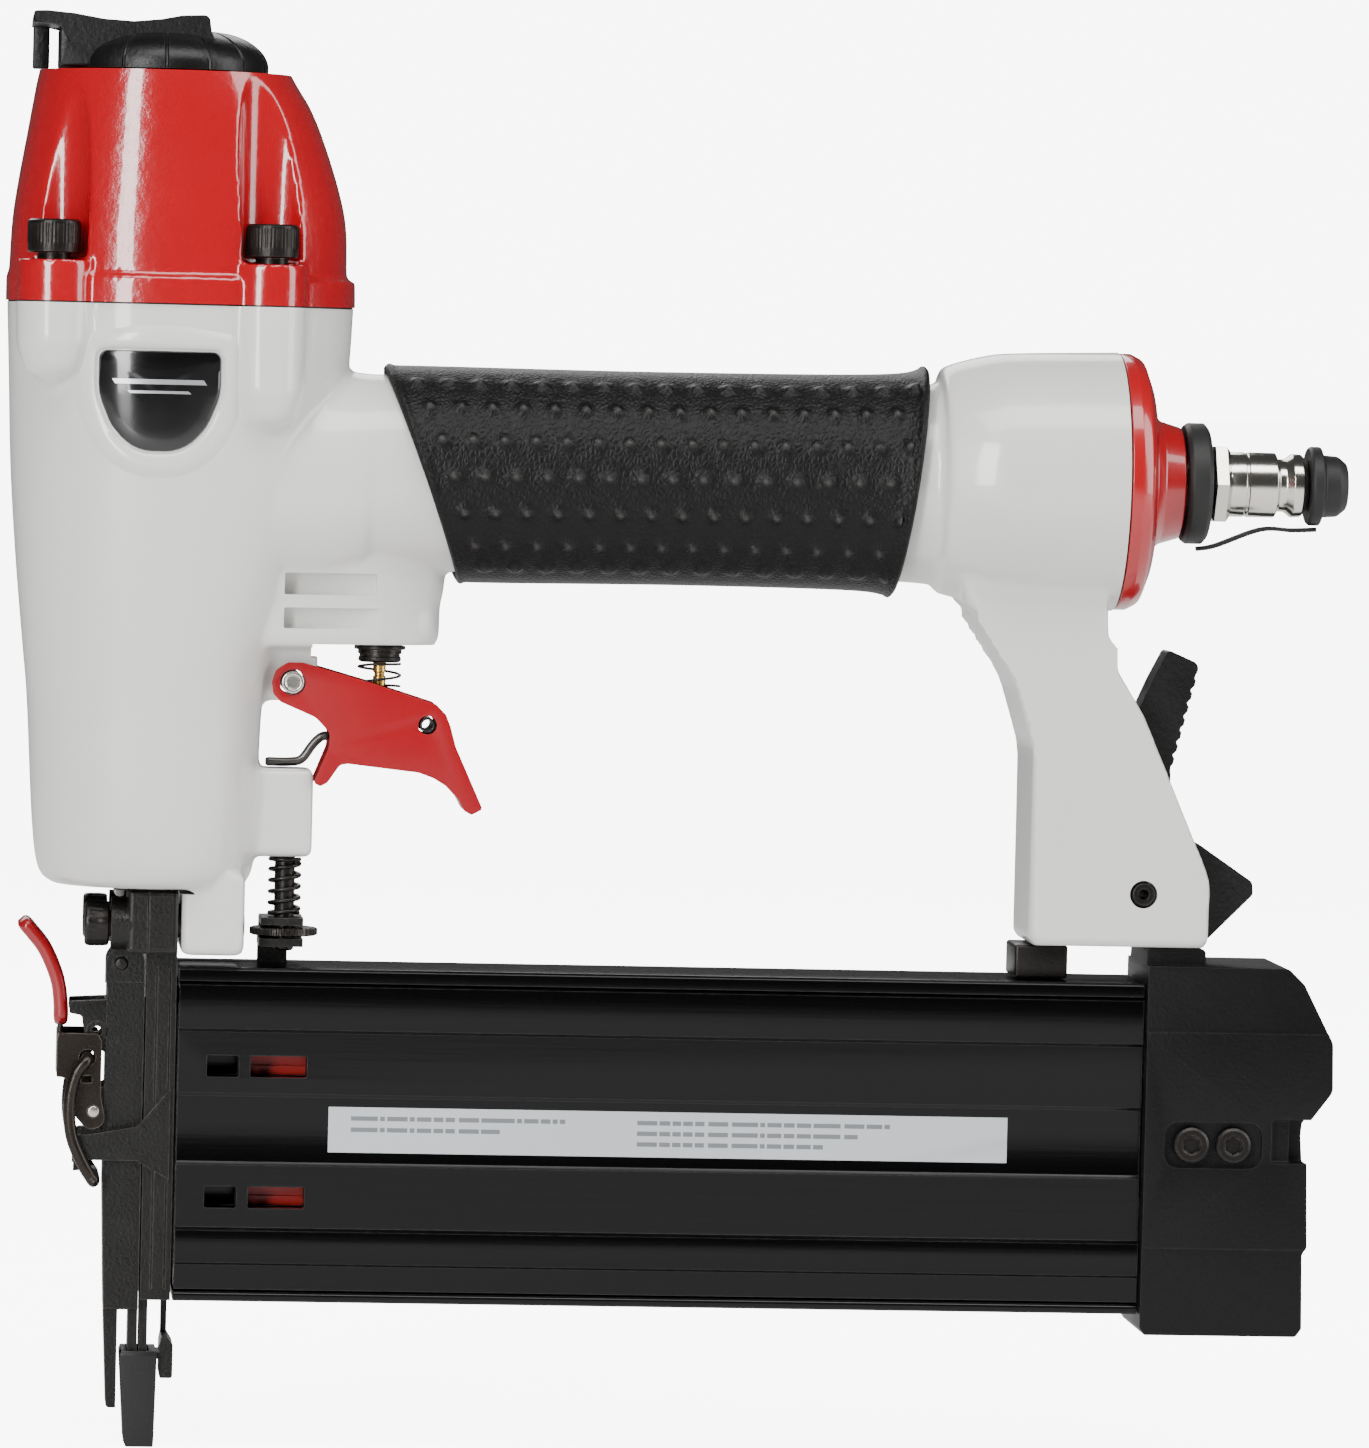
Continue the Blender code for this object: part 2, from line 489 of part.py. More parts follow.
# ---- trigger ----------------------------------------------------------------------------------
def trigger_pieces():
    outline = [(22.3, 143.4), (22.6, 141.2), (24, 139.7), (30.6, 136.9), (33.4, 134), (33.1, 131.2),
               (30.5, 124.7),
               (31.7, 124.1), (33, 124.8), (35.3, 128.2), (36.8, 128.4), (50, 127), (52.8, 126),
               (55.3, 124.5), (57.5, 122.2),
               (58.7, 120), (60, 119.3), (62.1, 120.4), (56.8, 132), (55.8, 135.6), (54.9, 137.9),
               (53, 139.8),
               (41, 143.5), (28, 147.1), (25.2, 147.1), (23, 145.6)]
    channel = plate(outline, -6.6, 6.6)
    hollow = plate([(15, 150), (15, 120), (33.6, 120), (35.4, 130), (50.6, 128.8), (54.2, 127.4),
                    (56.3, 125.8), (56, 128.5),
                    (53.6, 137), (52, 150)], -5.3, 5.3)
    (px, pz), (rx, rz) = TRIGGER_PIVOT, TRIGGER_ROLL
    cut(channel, hollow, rod((px, -9, pz), (px, 9, pz), 2.4), rod((rx, -9, rz), (rx, 9, rz), 1.75,
        sides=16))
    part("trigger", channel, RED, "trigger", rough=0.35)
    part("trigger_pivot_pin", rod((px, -7.4, pz), (px, 7.4, pz), 2.1), STEEL, metal=1)
    roll = cut(rod((rx, -6.5, rz), (rx, 6.5, rz), 1.45, sides=16), rod((rx, -8, rz), (rx, 8, rz), 0.9,
        sides=12))
    part("trigger_roll_pin", roll, STEEL, "trigger", metal=1)
    rocker = plate([(49.5, 134.1), (51.4, 133.2, 1), (53.3, 134.6, 0.8), (53.2, 137.6, 1), (49, 137.7),
                    (34.2, 136.4), (34.2, 135)],
                   -4.4, 4.4)
    part("trigger_rocker", cut(rocker, rod((rx, -8, rz), (rx, 8, rz), 1.75, sides=16)), SILVER, "rocker",
         metal=0.8)
    bush = turned([(0, 170), (4.1, 170), (4.1, 150.4), (4.8, 150.4), (4.8, 149.7), (4, 149.7), (4, 147.3),
                   (0, 147.3)],
                  (VALVE_X, 0, 0), steps=24)
    part("trigger_valve_body", cut(bush, rod((VALVE_X, 0, 146), (VALVE_X, 0, 171), 1.5, sides=16)), BLACK)
    part("trigger_valve_stem", rod((VALVE_X, 0, 142.6), (VALVE_X, 0, 166), 1.2, sides=16), BRASS,
         "valve_stem", metal=1)
    part("trigger_spring", coil((VALVE_X, 0), 3.4, 0.25, 138.6, 147, 4, per_turn=10), BLACK, metal=0.8)


# ---- grip, handle end, air fitting ------------------------------------------------------------
def handle_pieces():
    grip = loft([oval(49.3, 182.65, 20.4, 18.5, 0.35), oval(60, 182.65, 20.4, 18.5, 0.3),
                 oval(132, 182.9, 20.6, 18.7, -0.12),
                 oval(141.2, 183.2, 21.9, 20, -0.13)])
    hole = loft([oval(30, 182.65, 18.65, 16.8), oval(140.4, 182.65, 18.65, 16.8),
                 oval(147.4, 183.6, 21.5, 19.7),
                 oval(155, 183.9, 23.5, 22.9)])
    part("grip_sleeve", cut(grip, hole), RUBBER, rough=0.7)
    cap = turned([(0, 171.5), (19, 171.5), (19, 180.3), (24.1, 180.3), (24.1, 182.4), (22.8, 184.6),
                  (19, 186), (13, 186.6),
                  (11.6, 187.4), (10.4, 192.4), (0, 192.4)], (0, 0, HANDLE_Z), "X", 32)
    cut(cap, rod((182, 0, HANDLE_Z), (194, 0, HANDLE_Z), 6.3), rod((170, 0, HANDLE_Z), (183, 0, HANDLE_Z),
        16))
    part("handle_end_cap", cap, RED, rough=0.25)
    part("end_cap_seal", turned([(19.3, 174), (19.3, 176.6), (21.3, 176.6), (21.3, 174)], (0, 0, HANDLE_Z),
                                "X"), RUBBER)
    fitting = turned([(3.2, 184), (3.2, 216.3), (5.4, 216.3), (6, 215), (6, 213.4), (4.95, 212.2),
                      (4.95, 210.9), (6.1, 210.6),
                      (6.1, 201.7), (6, 201.5), (6, 184)][::-1], (0, 0, HANDLE_Z), "X", 28)
    join(fitting, cut(rod((197.9, 0, HANDLE_Z), (201.5, 0, HANDLE_Z), 8.1, sides=6),
                      rod((190, 0, HANDLE_Z), (210, 0, HANDLE_Z), 5, sides=28)))
    part("air_fitting", fitting, STEEL, metal=1, rough=0.2)
    part("dust_cap_ring", turned([(6.6, 192.9), (6.6, 197.5), (10.6, 197.5), (11.4, 196.8), (11.4, 193.6),
                                  (10.8, 192.9)][::-1],
                                 (0, 0, HANDLE_Z), "X"), RUBBER)
    part("dust_cap", turned([(0, 206), (2.8, 206), (2.8, 216.7), (7.45, 216.7), (7.45, 219.3),
                             (5.8, 219.6), (5.8, 222.6), (4.4, 224.1),
                             (0, 224.1)], (0, 0, HANDLE_Z), "X"), RUBBER, "dust_cap")
    strap = smooth_path([(196, 0, HANDLE_Z - 12.3), (199.5, 0, HANDLE_Z - 11.6), (208, 0, HANDLE_Z - 8.4),
                         (214, 0, HANDLE_Z - 8.4),
                         (218.5, 0, HANDLE_Z - 8.2)], 2)
    part("dust_cap_strap", strip(strap, 0.4, 1.6), RUBBER)


# ---- magazine -----------------------------------------------------------------------------------
def magazine_pieces():
    x0, x1, low, high = MAGAZINE
    rail = plate([(-12, high - 0.4), (-11.6, high), (11.4, high), (12, high - 0.8), (12, low + 0.8),
                  (11.4, low), (-11.6, low),
                  (-12, low + 0.4), (-12, low + 1.4), (-11.6, low + 1.8), (CHANNEL, low + 1.8),
                  (CHANNEL, 81.4), (5.7, 81.4),
                  (5.7, 87.8), (-12, 87.8)], x0, x1, "X")
    cut(rail, block((x0 - 1, 6.6, 32), (x1 + 1, 10.6, 79)), block((x0 - 1, 3.5, 80), (28.4, 5.5, 92)))
    part("magazine_rail", rail, BLACK, rough=0.25, metal=0.5)
    side = [(87.4, 12), (79, 12), (78.4, 11.2), (67, 11.2), (66.4, 10.6), (54.2, 10.6), (53.6, 11.2),
            (42, 11.2), (41.4, 12),
            (35.4, 12), (35, 11.4), (low + 2.2, 11.4)]
    cover = plate([(-y, z) for z, y in side] + [(-CHANNEL, low + 2.2), (-CHANNEL, 87.4)], x0 + 0.2, x1, "X")
    cut(cover, block((x0 - 1, -9, 34), (x1 + 1, -5, 84)))
    for z0, z1 in ((70, 74), (45.6, 49.6)):
        for a, b in ((11.6, 17.5), (19.7, 30.2)):
            cut(cover, block((a, -14, z0), (b, -3, z1)))
    join(cover, block((x1 - 6, -9.6, 50), (210, -6.4, 72)))
    for x in (195.95, 203.85):
        cut(cover, rod((x, -14, 60.5), (x, 0, 60.5), 2.2, sides=16))
    part("magazine_cover", cover, BLACK, "magazine_slide", rough=0.2, metal=0.5)
    outline = [(187.05, 26), (188, 24.6), (216.6, 24.6), (217.7, 26), (217.4, 40), (218.2, 41.5),
               (217.8, 56.4), (217.4, 62),
               (217.6, 64), (222.4, 70.8, 2), (222.2, 80, 2), (216.6, 90.9), (213.6, 93.8, 1),
               (198.3, 93.8), (198.2, 97), (187.2, 97),
               (187.05, 93)]
    cap = plate(outline, -14.8, 14.8)
    cut(cap, block((186, -9.9, 49.7), (210.4, -6.1, 72.3)), block((190.8, -16, 56.2), (209.2, -13.2, 64.8)),
        block((214.6, -17, 57.3), (219, -9, 65.5)), block((186, -20, 93.9), (200, -11, 99)),
        block((186, 11, 93.9), (200, 20, 99)))
    for x in (195.95, 203.85):
        cut(cap, rod((x, -16, 60.5), (x, -9, 60.5), 2.2, sides=16))
    part("magazine_end_cap", cap, BLACK, "magazine_slide", rough=0.45)
    for number, x in enumerate((195.95, 203.85), 1):
        screw = turned([(0, -15.2), (3.2, -15.2), (3.5, -14.8), (3.5, -13.5), (1.9, -13.5), (1.9, -6.6),
                        (0, -6.6)][::-1], (x, 0, 60.5), "Y", 14)
        cut(screw, rod((x, -16, 60.5), (x, -14.2, 60.5), 1.7, sides=6))
        part(f"end_cap_screw_{number}", screw, BLACK, "magazine_slide", metal=0.8)
    pusher = block((8.6, -3.1, 31.2), (46, 3.1, 79.6), 0.3)
    part("pusher", cut(pusher, rod((18, 0, 40), (50, 0, 40), 2.6, sides=16)), (0.5, 0.02, 0.02), "pusher")
    part("pusher_spring", coil((0, 40), 1.9, 0.4, 18.8, 186, 9, "X", 6), STEEL, metal=0.9)
    part("magazine_label", block((34.4, -10.88, 56.2), (161.6, -10.66, 64.7)), SILVER, "magazine_slide",
         rough=0.3)
    bracket = block((162.7, -7, 90.7), (172.7, 7, 97.0), 0.4)
    part("magazine_bracket", bracket, BLACK, metal=0.5)
    lever = plate([(190.65, 152.8, 0.8), (197.4, 149.9, 1.5), (194, 143), (191.7, 130.2), (191.5, 119),
                   (197.3, 116.4), (207.7, 109.4, 0.8),
                   (207.9, 107, 0.8), (199.4, 98.4), (190, 98.6), (184.6, 103), (182.6, 107.2, 3),
                   (184.2, 112), (186.6, 120), (186.4, 134),
                   (185, 140.8), (187.7, 147)], -4.2, 4.2)
    part("release_lever", cut(lever, rod((RELEASE_PIVOT[0], -8, RELEASE_PIVOT[1]),
                                         (RELEASE_PIVOT[0], 8, RELEASE_PIVOT[1]), 2.6)), BLACK,
         "release_lever")
    part("release_pin", rod((RELEASE_PIVOT[0], -13.4, RELEASE_PIVOT[1]),
                            (RELEASE_PIVOT[0], 13.4, RELEASE_PIVOT[1]), 2.25), BLACK, metal=0.8)
    part("release_spring", coil((0, 126), 1.8, 0.35, 180.8, 185.8, 3, "X"), STEEL, metal=0.9)


def latch_pieces():
    px, pz = LATCH_PIVOT
    bx, bz = BAIL_PIVOT
    lever = block((-16.2, -8.5, 69.2), (-15.1, 8.5, 77.4))
    for side in (-1, 1):
        join(lever, plate([(-16.2, 69), (-16.2, 77.4), (-7.9, 77.4, 0.8), (-7.9, 66), (px + 2.4, 60.4, 2),
                           (px - 1, 59.3, 2), (-12.6, 62, 2), (-14.4, 69)],
                          *sorted((side * 7.3, side * 8.5))))
    tongue_path = smooth_path([(-15.65, 0, 76), (-15.5, 0, 82), (-16.3, 0, 87), (-18.6, 0, 92.4),
                               (-21, 0, 95.7), (-23.4, 0, 98)], 3)
    join(lever, strip(tongue_path, 0.5, 3.2))
    for spot in ((px, pz), (bx, bz)):
        cut(lever, rod((spot[0], -10, spot[1]), (spot[0], 10, spot[1]), 1.55, sides=16))
    part("latch_lever", lever, (0.06, 0.05, 0.045), "latch_lever", rough=0.35, metal=0.9)
    sleeve = strip([(-15.55, 0, 78.6)] + tongue_path[4:] + [(-24, 0, 98.6)], 1.35, 4.4)
    inner = strip([(-15.6, 0, 77)] + tongue_path[2:] + [(-23.6, 0, 98.2)], 0.75, 3.5)
    part("latch_handle_sleeve", cut(sleeve, inner), (0.55, 0.03, 0.04), "latch_lever", rough=0.4)
    part("latch_pivot_pin", rod((px, -9.1, pz), (px, 9.1, pz), 1.1), STEEL, "nose_door", metal=1)
    leg = [(bx, 72.9), (-12.4, 70.4), (-13.5, 66.5), (-13.7, 62), (-13, 57.8), (-11.2, 53.6), (-9.1, 50.2)]
    near = [Vector((x, -10.7, z)) for x, z in leg]
    far = [Vector((x, 10.7, z)) for x, z in leg[::-1]]
    path = [Vector((bx, -7.0, bz)), Vector((bx, -9.6, bz))] + smooth_path(near, 3) + smooth_path(far, 3) \
        + [Vector((bx, 9.6, bz)), Vector((bx, 7.0, bz))]
    part("latch_bail", tube(path, 1.15), (0.03, 0.028, 0.026), "latch_bail", rough=0.3, metal=0.9)


def name_badge():
    shield = [(-11.4, 204.4, 1), (11, 204.4, 1), (11, 196.8), (-0.2 + 10.4, 193), (6.8, 188.6),
              (-0.2, 186), (-7.2, 188.6), (-10.8, 193),
              (-11.4, 196.8)]
    badge = plate(shield, -29.6, -20)
    inner = loft([egg(z, r, 36, r) for z, r in [(183, 27.4), (200, 28), (207, 28.4)]])
    outer = loft([egg(z, r, 37, r) for z, r in [(183, 27.9), (200, 28.5), (207, 28.9)]])
    boolean(cut(badge, inner), outer, "INTERSECT")
    part("name_badge", badge, BLACK, rough=0.1)


body_housing()
head_pieces()
drive_pieces()
nose_pieces()
latch_pieces()
safety_pieces()
trigger_pieces()
handle_pieces()
magazine_pieces()
name_badge()
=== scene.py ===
"""Brad nailer, piece by piece in the order it is put together.

Sizes are in millimetres from the driver's axis (x, y) and from the work under the contact tip (z).
"""
from math import ceil, cos, exp, hypot, pi, radians, sin, tan

import bmesh
import bpy
from mathutils import Matrix, Vector


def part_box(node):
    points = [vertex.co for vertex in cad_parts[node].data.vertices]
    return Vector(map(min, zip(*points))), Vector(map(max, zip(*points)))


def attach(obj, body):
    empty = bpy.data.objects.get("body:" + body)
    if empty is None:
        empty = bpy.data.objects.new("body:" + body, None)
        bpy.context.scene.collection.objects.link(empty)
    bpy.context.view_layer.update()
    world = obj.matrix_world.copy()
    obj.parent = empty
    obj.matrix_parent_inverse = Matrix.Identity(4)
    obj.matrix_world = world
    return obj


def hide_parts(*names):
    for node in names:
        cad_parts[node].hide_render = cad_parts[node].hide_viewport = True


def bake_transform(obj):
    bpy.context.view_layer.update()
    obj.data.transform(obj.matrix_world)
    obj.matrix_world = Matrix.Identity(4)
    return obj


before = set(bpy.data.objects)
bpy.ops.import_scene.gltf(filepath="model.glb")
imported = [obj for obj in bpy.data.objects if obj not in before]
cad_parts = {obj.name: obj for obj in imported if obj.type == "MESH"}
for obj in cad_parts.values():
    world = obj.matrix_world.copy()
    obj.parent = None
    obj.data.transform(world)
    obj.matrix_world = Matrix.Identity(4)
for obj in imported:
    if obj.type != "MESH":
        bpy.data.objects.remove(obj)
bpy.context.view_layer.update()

# ---- Main casting --------------------------------------------------------------------
# One aluminium die casting holds the cylinder, the air reservoir in the handle and the rear
# leg. It is sprayed with gloss white powder coat, then bored and faced where other pieces seat.
MM = 0.001
DRIVER_X = sum(corner[0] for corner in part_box("driver_blade")) / 2
BOLTS = [(sx * 20.0, sy * 22.0) for sx in (-1, 1) for sy in (-1, 1)]
BOSSES = [(x * 0.97, y * 0.95) for x, y in BOLTS]
NOSE_SCREW_Y, NOSE_SCREW_Z = 10.5, 98.2
COLUMN_TOP, HANDLE_Z, HANDLE_END = 212.9, 184.1, 180.0
TRIGGER_PIVOT, RELEASE_PIVOT = (26.15, 143.4), (185.85, 107.2)
VALVE_X, ROD_X = 42.55, 25.7
WHITE = (0.600, 0.598, 0.572)


def raw(bm, name="raw"):
    """A loose object from a bmesh, in millimetres, until fit() places it."""
    bmesh.ops.recalc_face_normals(bm, faces=bm.faces)
    mesh = bpy.data.meshes.new(name)
    bm.to_mesh(mesh)
    bm.free()
    obj = bpy.data.objects.new(name, mesh)
    bpy.context.scene.collection.objects.link(obj)
    return obj


def harden(obj):
    """Applies an object's modifiers."""
    bpy.context.view_layer.update()
    graph = bpy.context.evaluated_depsgraph_get()
    mesh = bpy.data.meshes.new_from_object(obj.evaluated_get(graph))
    obj.modifiers.clear()
    obj.data = mesh
    return obj


def reshape(base, others, operation):
    for other in others:
        step = base.modifiers.new("step", "BOOLEAN")
        step.operation, step.object, step.solver = operation, other, "MANIFOLD"
    harden(base)
    for other in others:
        bpy.data.objects.remove(other)
    return base


def build_up(base, *others):
    return reshape(base, others, "UNION")


def machine(base, *cutters):
    return reshape(base, cutters, "DIFFERENCE")


def skin(rings, ends=True):
    """A surface over rings of points, each ring the same length, or a single point at a pole."""
    bm = bmesh.new()
    made = [[bm.verts.new(p) for p in ring] for ring in rings]
    for one, two in zip(made, made[1:]):
        n = max(len(one), len(two))
        for i in range(n):
            j = (i + 1) % n
            if len(one) == 1:
                bm.faces.new((one[0], two[j], two[i]))
            elif len(two) == 1:
                bm.faces.new((one[i], one[j], two[0]))
            else:
                bm.faces.new((one[i], one[j], two[j], two[i]))
    for ring in (made[0], made[-1]) if ends else ():
        if len(ring) > 2:
            bm.faces.new(ring)
    return raw(bm)


def egg(z, front, rear, side, count=96):
    """A level ring: a half ellipse ahead of the axis and a longer one behind it."""
    turn = [2 * pi * k / count for k in range(count)]
    return [((rear if cos(a) > 0 else front) * cos(a), side * sin(a), z) for a in turn]


def oval(x, middle, tall, wide, lean=0.0, count=96):
    """An upright ring across the handle; lean tips its top forward."""
    turn = [2 * pi * k / count for k in range(count)]
    return [(x - lean * tall * sin(a), wide * cos(a), middle + tall * sin(a)) for a in turn]


def between(rows, step=1.5):
    """Rows of numbers, with more filled in along a smooth curve through them."""
    rows = [tuple(row) for row in rows]
    ends = [tuple(2 * a - b for a, b in zip(rows[0], rows[1])),
            tuple(2 * a - b for a, b in zip(rows[-1], rows[-2]))]
    p = [Vector(row) for row in [ends[0]] + rows + [ends[1]]]
    out = []
    for a, b, c, d in zip(p, p[1:], p[2:], p[3:]):
        count = max(1, ceil((c - b).length / step))
        for k in range(count):
            t = k / count
            out.append(tuple((2 * b + (c - a) * t + (2 * a - 5 * b + 4 * c - d) * t * t
                              + (3 * b - a - 3 * c + d) * t ** 3) / 2))
    return out + [rows[-1]]


def bar(low, high, bevel=0.0, segments=3):
    bm = bmesh.new()
    bmesh.ops.create_cube(bm, size=1)
    low, high = Vector(low), Vector(high)
    bmesh.ops.scale(bm, vec=high - low, verts=bm.verts)
    bmesh.ops.translate(bm, vec=(low + high) / 2, verts=bm.verts)
    if bevel:
        bmesh.ops.bevel(bm, geom=bm.edges[:], offset=bevel, segments=segments, affect="EDGES",
                        profile=0.5)
    return raw(bm)


def pin(start, end, radius, end_radius=None, sides=48):
    bm = bmesh.new()
    run = Vector(end) - Vector(start)
    stand = run.to_track_quat("Z", "Y").to_matrix().to_4x4()
    bmesh.ops.create_cone(bm, cap_ends=True, segments=sides, radius1=radius,
                          radius2=end_radius or radius, depth=run.length,
                          matrix=Matrix.Translation((Vector(start) + Vector(end)) / 2) @ stand)
    return raw(bm)


def across(x, z, reach, radius):
    """A pin from side to side of the tool."""
    return pin((x, -reach, z), (x, reach, z), radius)


def upright(x, y, low, high, radius):
    return pin((x, y, low), (x, y, high), radius)


def span(side, inner, outer):
    """The two y limits, lower first, of a stretch on one side of the tool."""
    return sorted((side * inner, side * outer))


def rounded(points, degrees=9):
    """Swaps each (a, b, radius) corner of an outline for an arc."""
    out = []
    for i, point in enumerate(points):
        here = Vector(point[:2])
        if len(point) < 3:
            out.append(here)
            continue
        back = (Vector(points[i - 1][:2]) - here).normalized()
        ahead = (Vector(points[(i + 1) % len(points)][:2]) - here).normalized()
        half = back.angle(ahead) / 2
        centre = here + (back + ahead).normalized() * point[2] / sin(half)
        first = here + back * point[2] / tan(half) - centre
        sweep = first.angle_signed(here + ahead * point[2] / tan(half) - centre)
        count = max(2, round(abs(sweep) / radians(degrees)))
        for k in range(count + 1):
            a = -sweep * k / count
            out.append(centre + Vector((first.x * cos(a) - first.y * sin(a),
                                        first.x * sin(a) + first.y * cos(a))))
    return out


def cutout(outline, low, high, across="Y", edge=0.0):
    """A flat plate cut to an outline in XZ (across Y) or YZ (across X), its two rims eased."""
    bm = bmesh.new()
    lay = (lambda p, d: (p.x, d, p.y)) if across == "Y" else (lambda p, d: (d, p.x, p.y))
    flat = rounded(outline)
    sides = [[bm.verts.new(lay(p, d)) for p in flat] for d in (low, high)]
    rims = [bm.faces.new(side) for side in sides]
    for i in range(len(flat)):
        j = (i + 1) % len(flat)
        bm.faces.new((sides[0][i], sides[0][j], sides[1][j], sides[1][i]))
    if edge:
        lines = [e for face in rims for e in face.edges]
        bmesh.ops.bevel(bm, geom=lines, offset=edge, segments=3, affect="EDGES", profile=0.5,
                        clamp_overlap=True)
    return raw(bm)


def lathe(profile, at=(0, 0, 0), along="Z", steps=72):
    """Turns a (radius, height) profile; a third number rounds a corner. A ring's closes."""
    closed = min(p[0] for p in profile) > 0
    flat = rounded(profile, 15)
    turn = {"Z": Matrix(), "X": Matrix.Rotation(pi / 2, 4, "Y"),
            "Y": Matrix.Rotation(-pi / 2, 4, "X")}[along]
    place = Matrix.Translation(at) @ turn
    rings = [[place @ Vector((p.x * cos(2 * pi * k / steps), p.x * sin(2 * pi * k / steps), p.y))
              for k in range(steps if p.x > 1e-6 else 1)] for p in flat]
    obj = skin(rings + rings[:1] if closed else rings)
    if closed:
        bm = bmesh.new()
        bm.from_mesh(obj.data)
        caps = [f for f in bm.faces if len(f.verts) == steps and steps > 4]
        bmesh.ops.delete(bm, geom=caps, context="FACES_ONLY")
        bmesh.ops.remove_doubles(bm, verts=bm.verts, dist=1e-4)
        bmesh.ops.recalc_face_normals(bm, faces=bm.faces)
        bm.to_mesh(obj.data)
        bm.free()
    return obj


def soften(obj, voxel, passes):
    """Melts joined solids together with the fillets of a casting."""
    melt = obj.modifiers.new("melt", "REMESH")
    melt.mode, melt.voxel_size = "VOXEL", voxel
    smooth = obj.modifiers.new("smooth", "SMOOTH")
    smooth.factor, smooth.iterations = 0.5, passes
    return harden(obj)


def ease(obj, width, segments=2, angle=32):
    """Breaks a machined or sheared piece's sharp edges."""
    bm = bmesh.new()
    bm.from_mesh(obj.data)
    bmesh.ops.remove_doubles(bm, verts=bm.verts, dist=1e-3)
    bmesh.ops.dissolve_limit(bm, angle_limit=radians(1), verts=bm.verts, edges=bm.edges)
    bm.to_mesh(obj.data)
    bm.free()
    bevel = obj.modifiers.new("bevel", "BEVEL")
    bevel.width, bevel.segments = width, segments
    bevel.limit_method, bevel.angle_limit = "ANGLE", radians(angle)
    bevel.use_clamp_overlap = True
    return harden(obj)


def fit(obj, name, look, body, slot, *nodes, angle=35):
    """Names a finished piece, puts it in the frame and says which body and CAD nodes it goes with.
    A spring or strap takes (body, other body, start, end) and is left where it was built, on no
    body."""
    obj.name = obj.data.name = name
    obj.data.transform(Matrix.Translation((DRIVER_X, 0, 0)) @ Matrix.Scale(MM, 4))
    obj.data.materials.clear()
    obj.data.materials.append(look)
    obj.data.shade_smooth()
    obj.data.set_sharp_from_angle(angle=radians(angle))
    if isinstance(body, str):
        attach(obj, body)
    else:
        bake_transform(obj)
    if nodes:
        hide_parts(*nodes)
    return obj


def group(name, inputs, outputs):
    """An empty node group and its sockets: (tree, nodes, links, input node, output node)."""
    tree = bpy.data.node_groups.new(name, "ShaderNodeTree")
    for direction, sockets in (("INPUT", inputs), ("OUTPUT", outputs)):
        for socket, kind, value in sockets:
            made = tree.interface.new_socket(socket, in_out=direction,
                                             socket_type=f"NodeSocket{kind}")
            if value is not None:
                made.default_value = value
    start, end = tree.nodes.new("NodeGroupInput"), tree.nodes.new("NodeGroupOutput")
    return tree, tree.nodes, tree.links, start, end


def math_node(nodes, links, operation, *values, clamp=False):
    node = nodes.new("ShaderNodeMath")
    node.operation, node.use_clamp = operation, clamp
    for socket, value in zip(node.inputs, values):
        if hasattr(value, "is_linked"):
            links.new(value, socket)
        else:
            socket.default_value = value
    return node.outputs[0]


def noise_node(nodes, links, vector, scale, detail=3.0, rough=0.5):
    node = nodes.new("ShaderNodeTexNoise")
    for socket, value in (("Vector", vector), ("Scale", scale), ("Detail", detail),
                          ("Roughness", rough)):
        if hasattr(value, "is_linked"):
            links.new(value, node.inputs[socket])
        else:
            node.inputs[socket].default_value = value
    return node.outputs["Fac"]


def object_place(nodes, links, stretch=None):
    place = nodes.new("ShaderNodeTexCoord").outputs["Object"]
    if stretch is None:
        return place
    scale = nodes.new("ShaderNodeVectorMath")
    scale.operation = "MULTIPLY"
    links.new(place, scale.inputs[0])
    if hasattr(stretch, "is_linked"):
        links.new(stretch, scale.inputs[1])
    else:
        scale.inputs[1].default_value = stretch
    return scale.outputs[0]


def make_edge_wear():
    """Mask of outer edges scuffed bright: where the rounded normal parts from the flat one."""
    tree, nodes, links, start, end = group("edge_wear",
                                           [("Width", "Float", 0.0004), ("Amount", "Float", 0.5)],
                                           [("Mask", "Float", None)])
    soft = nodes.new("ShaderNodeBevel")
    soft.samples = 4
    links.new(start.outputs["Width"], soft.inputs["Radius"])
    flat = nodes.new("ShaderNodeNewGeometry")
    part = nodes.new("ShaderNodeVectorMath")
    part.operation = "DISTANCE"
    links.new(soft.outputs["Normal"], part.inputs[0])
    links.new(flat.outputs["Normal"], part.inputs[1])
    broken = noise_node(nodes, links, object_place(nodes, links), 700.0, 2.0)
    uneven = math_node(nodes, links, "MULTIPLY_ADD", broken, 1.6, -0.2)
    mask = math_node(nodes, links, "MULTIPLY", part.outputs["Value"], uneven)
    mask = math_node(nodes, links, "MULTIPLY", mask, start.outputs["Amount"], clamp=True)
    links.new(mask, end.inputs["Mask"])
    return tree


def make_surface_grain():
    """Fine relief of a cast, moulded or sprayed surface, with a slow mottle over it."""
    tree, nodes, links, start, end = group("surface_grain",
                                           [("Scale", "Float", 1200.0),
                                            ("Stretch", "Vector", (1, 1, 1)),
                                            ("Mottle Scale", "Float", 60.0)],
                                           [("Height", "Float", None), ("Mottle", "Float", None)])
    place = object_place(nodes, links, start.outputs["Stretch"])
    links.new(noise_node(nodes, links, place, start.outputs["Scale"], 4.0, 0.6),
              end.inputs["Height"])
    links.new(noise_node(nodes, links, place, start.outputs["Mottle Scale"], 3.0),
              end.inputs["Mottle"])
    return tree


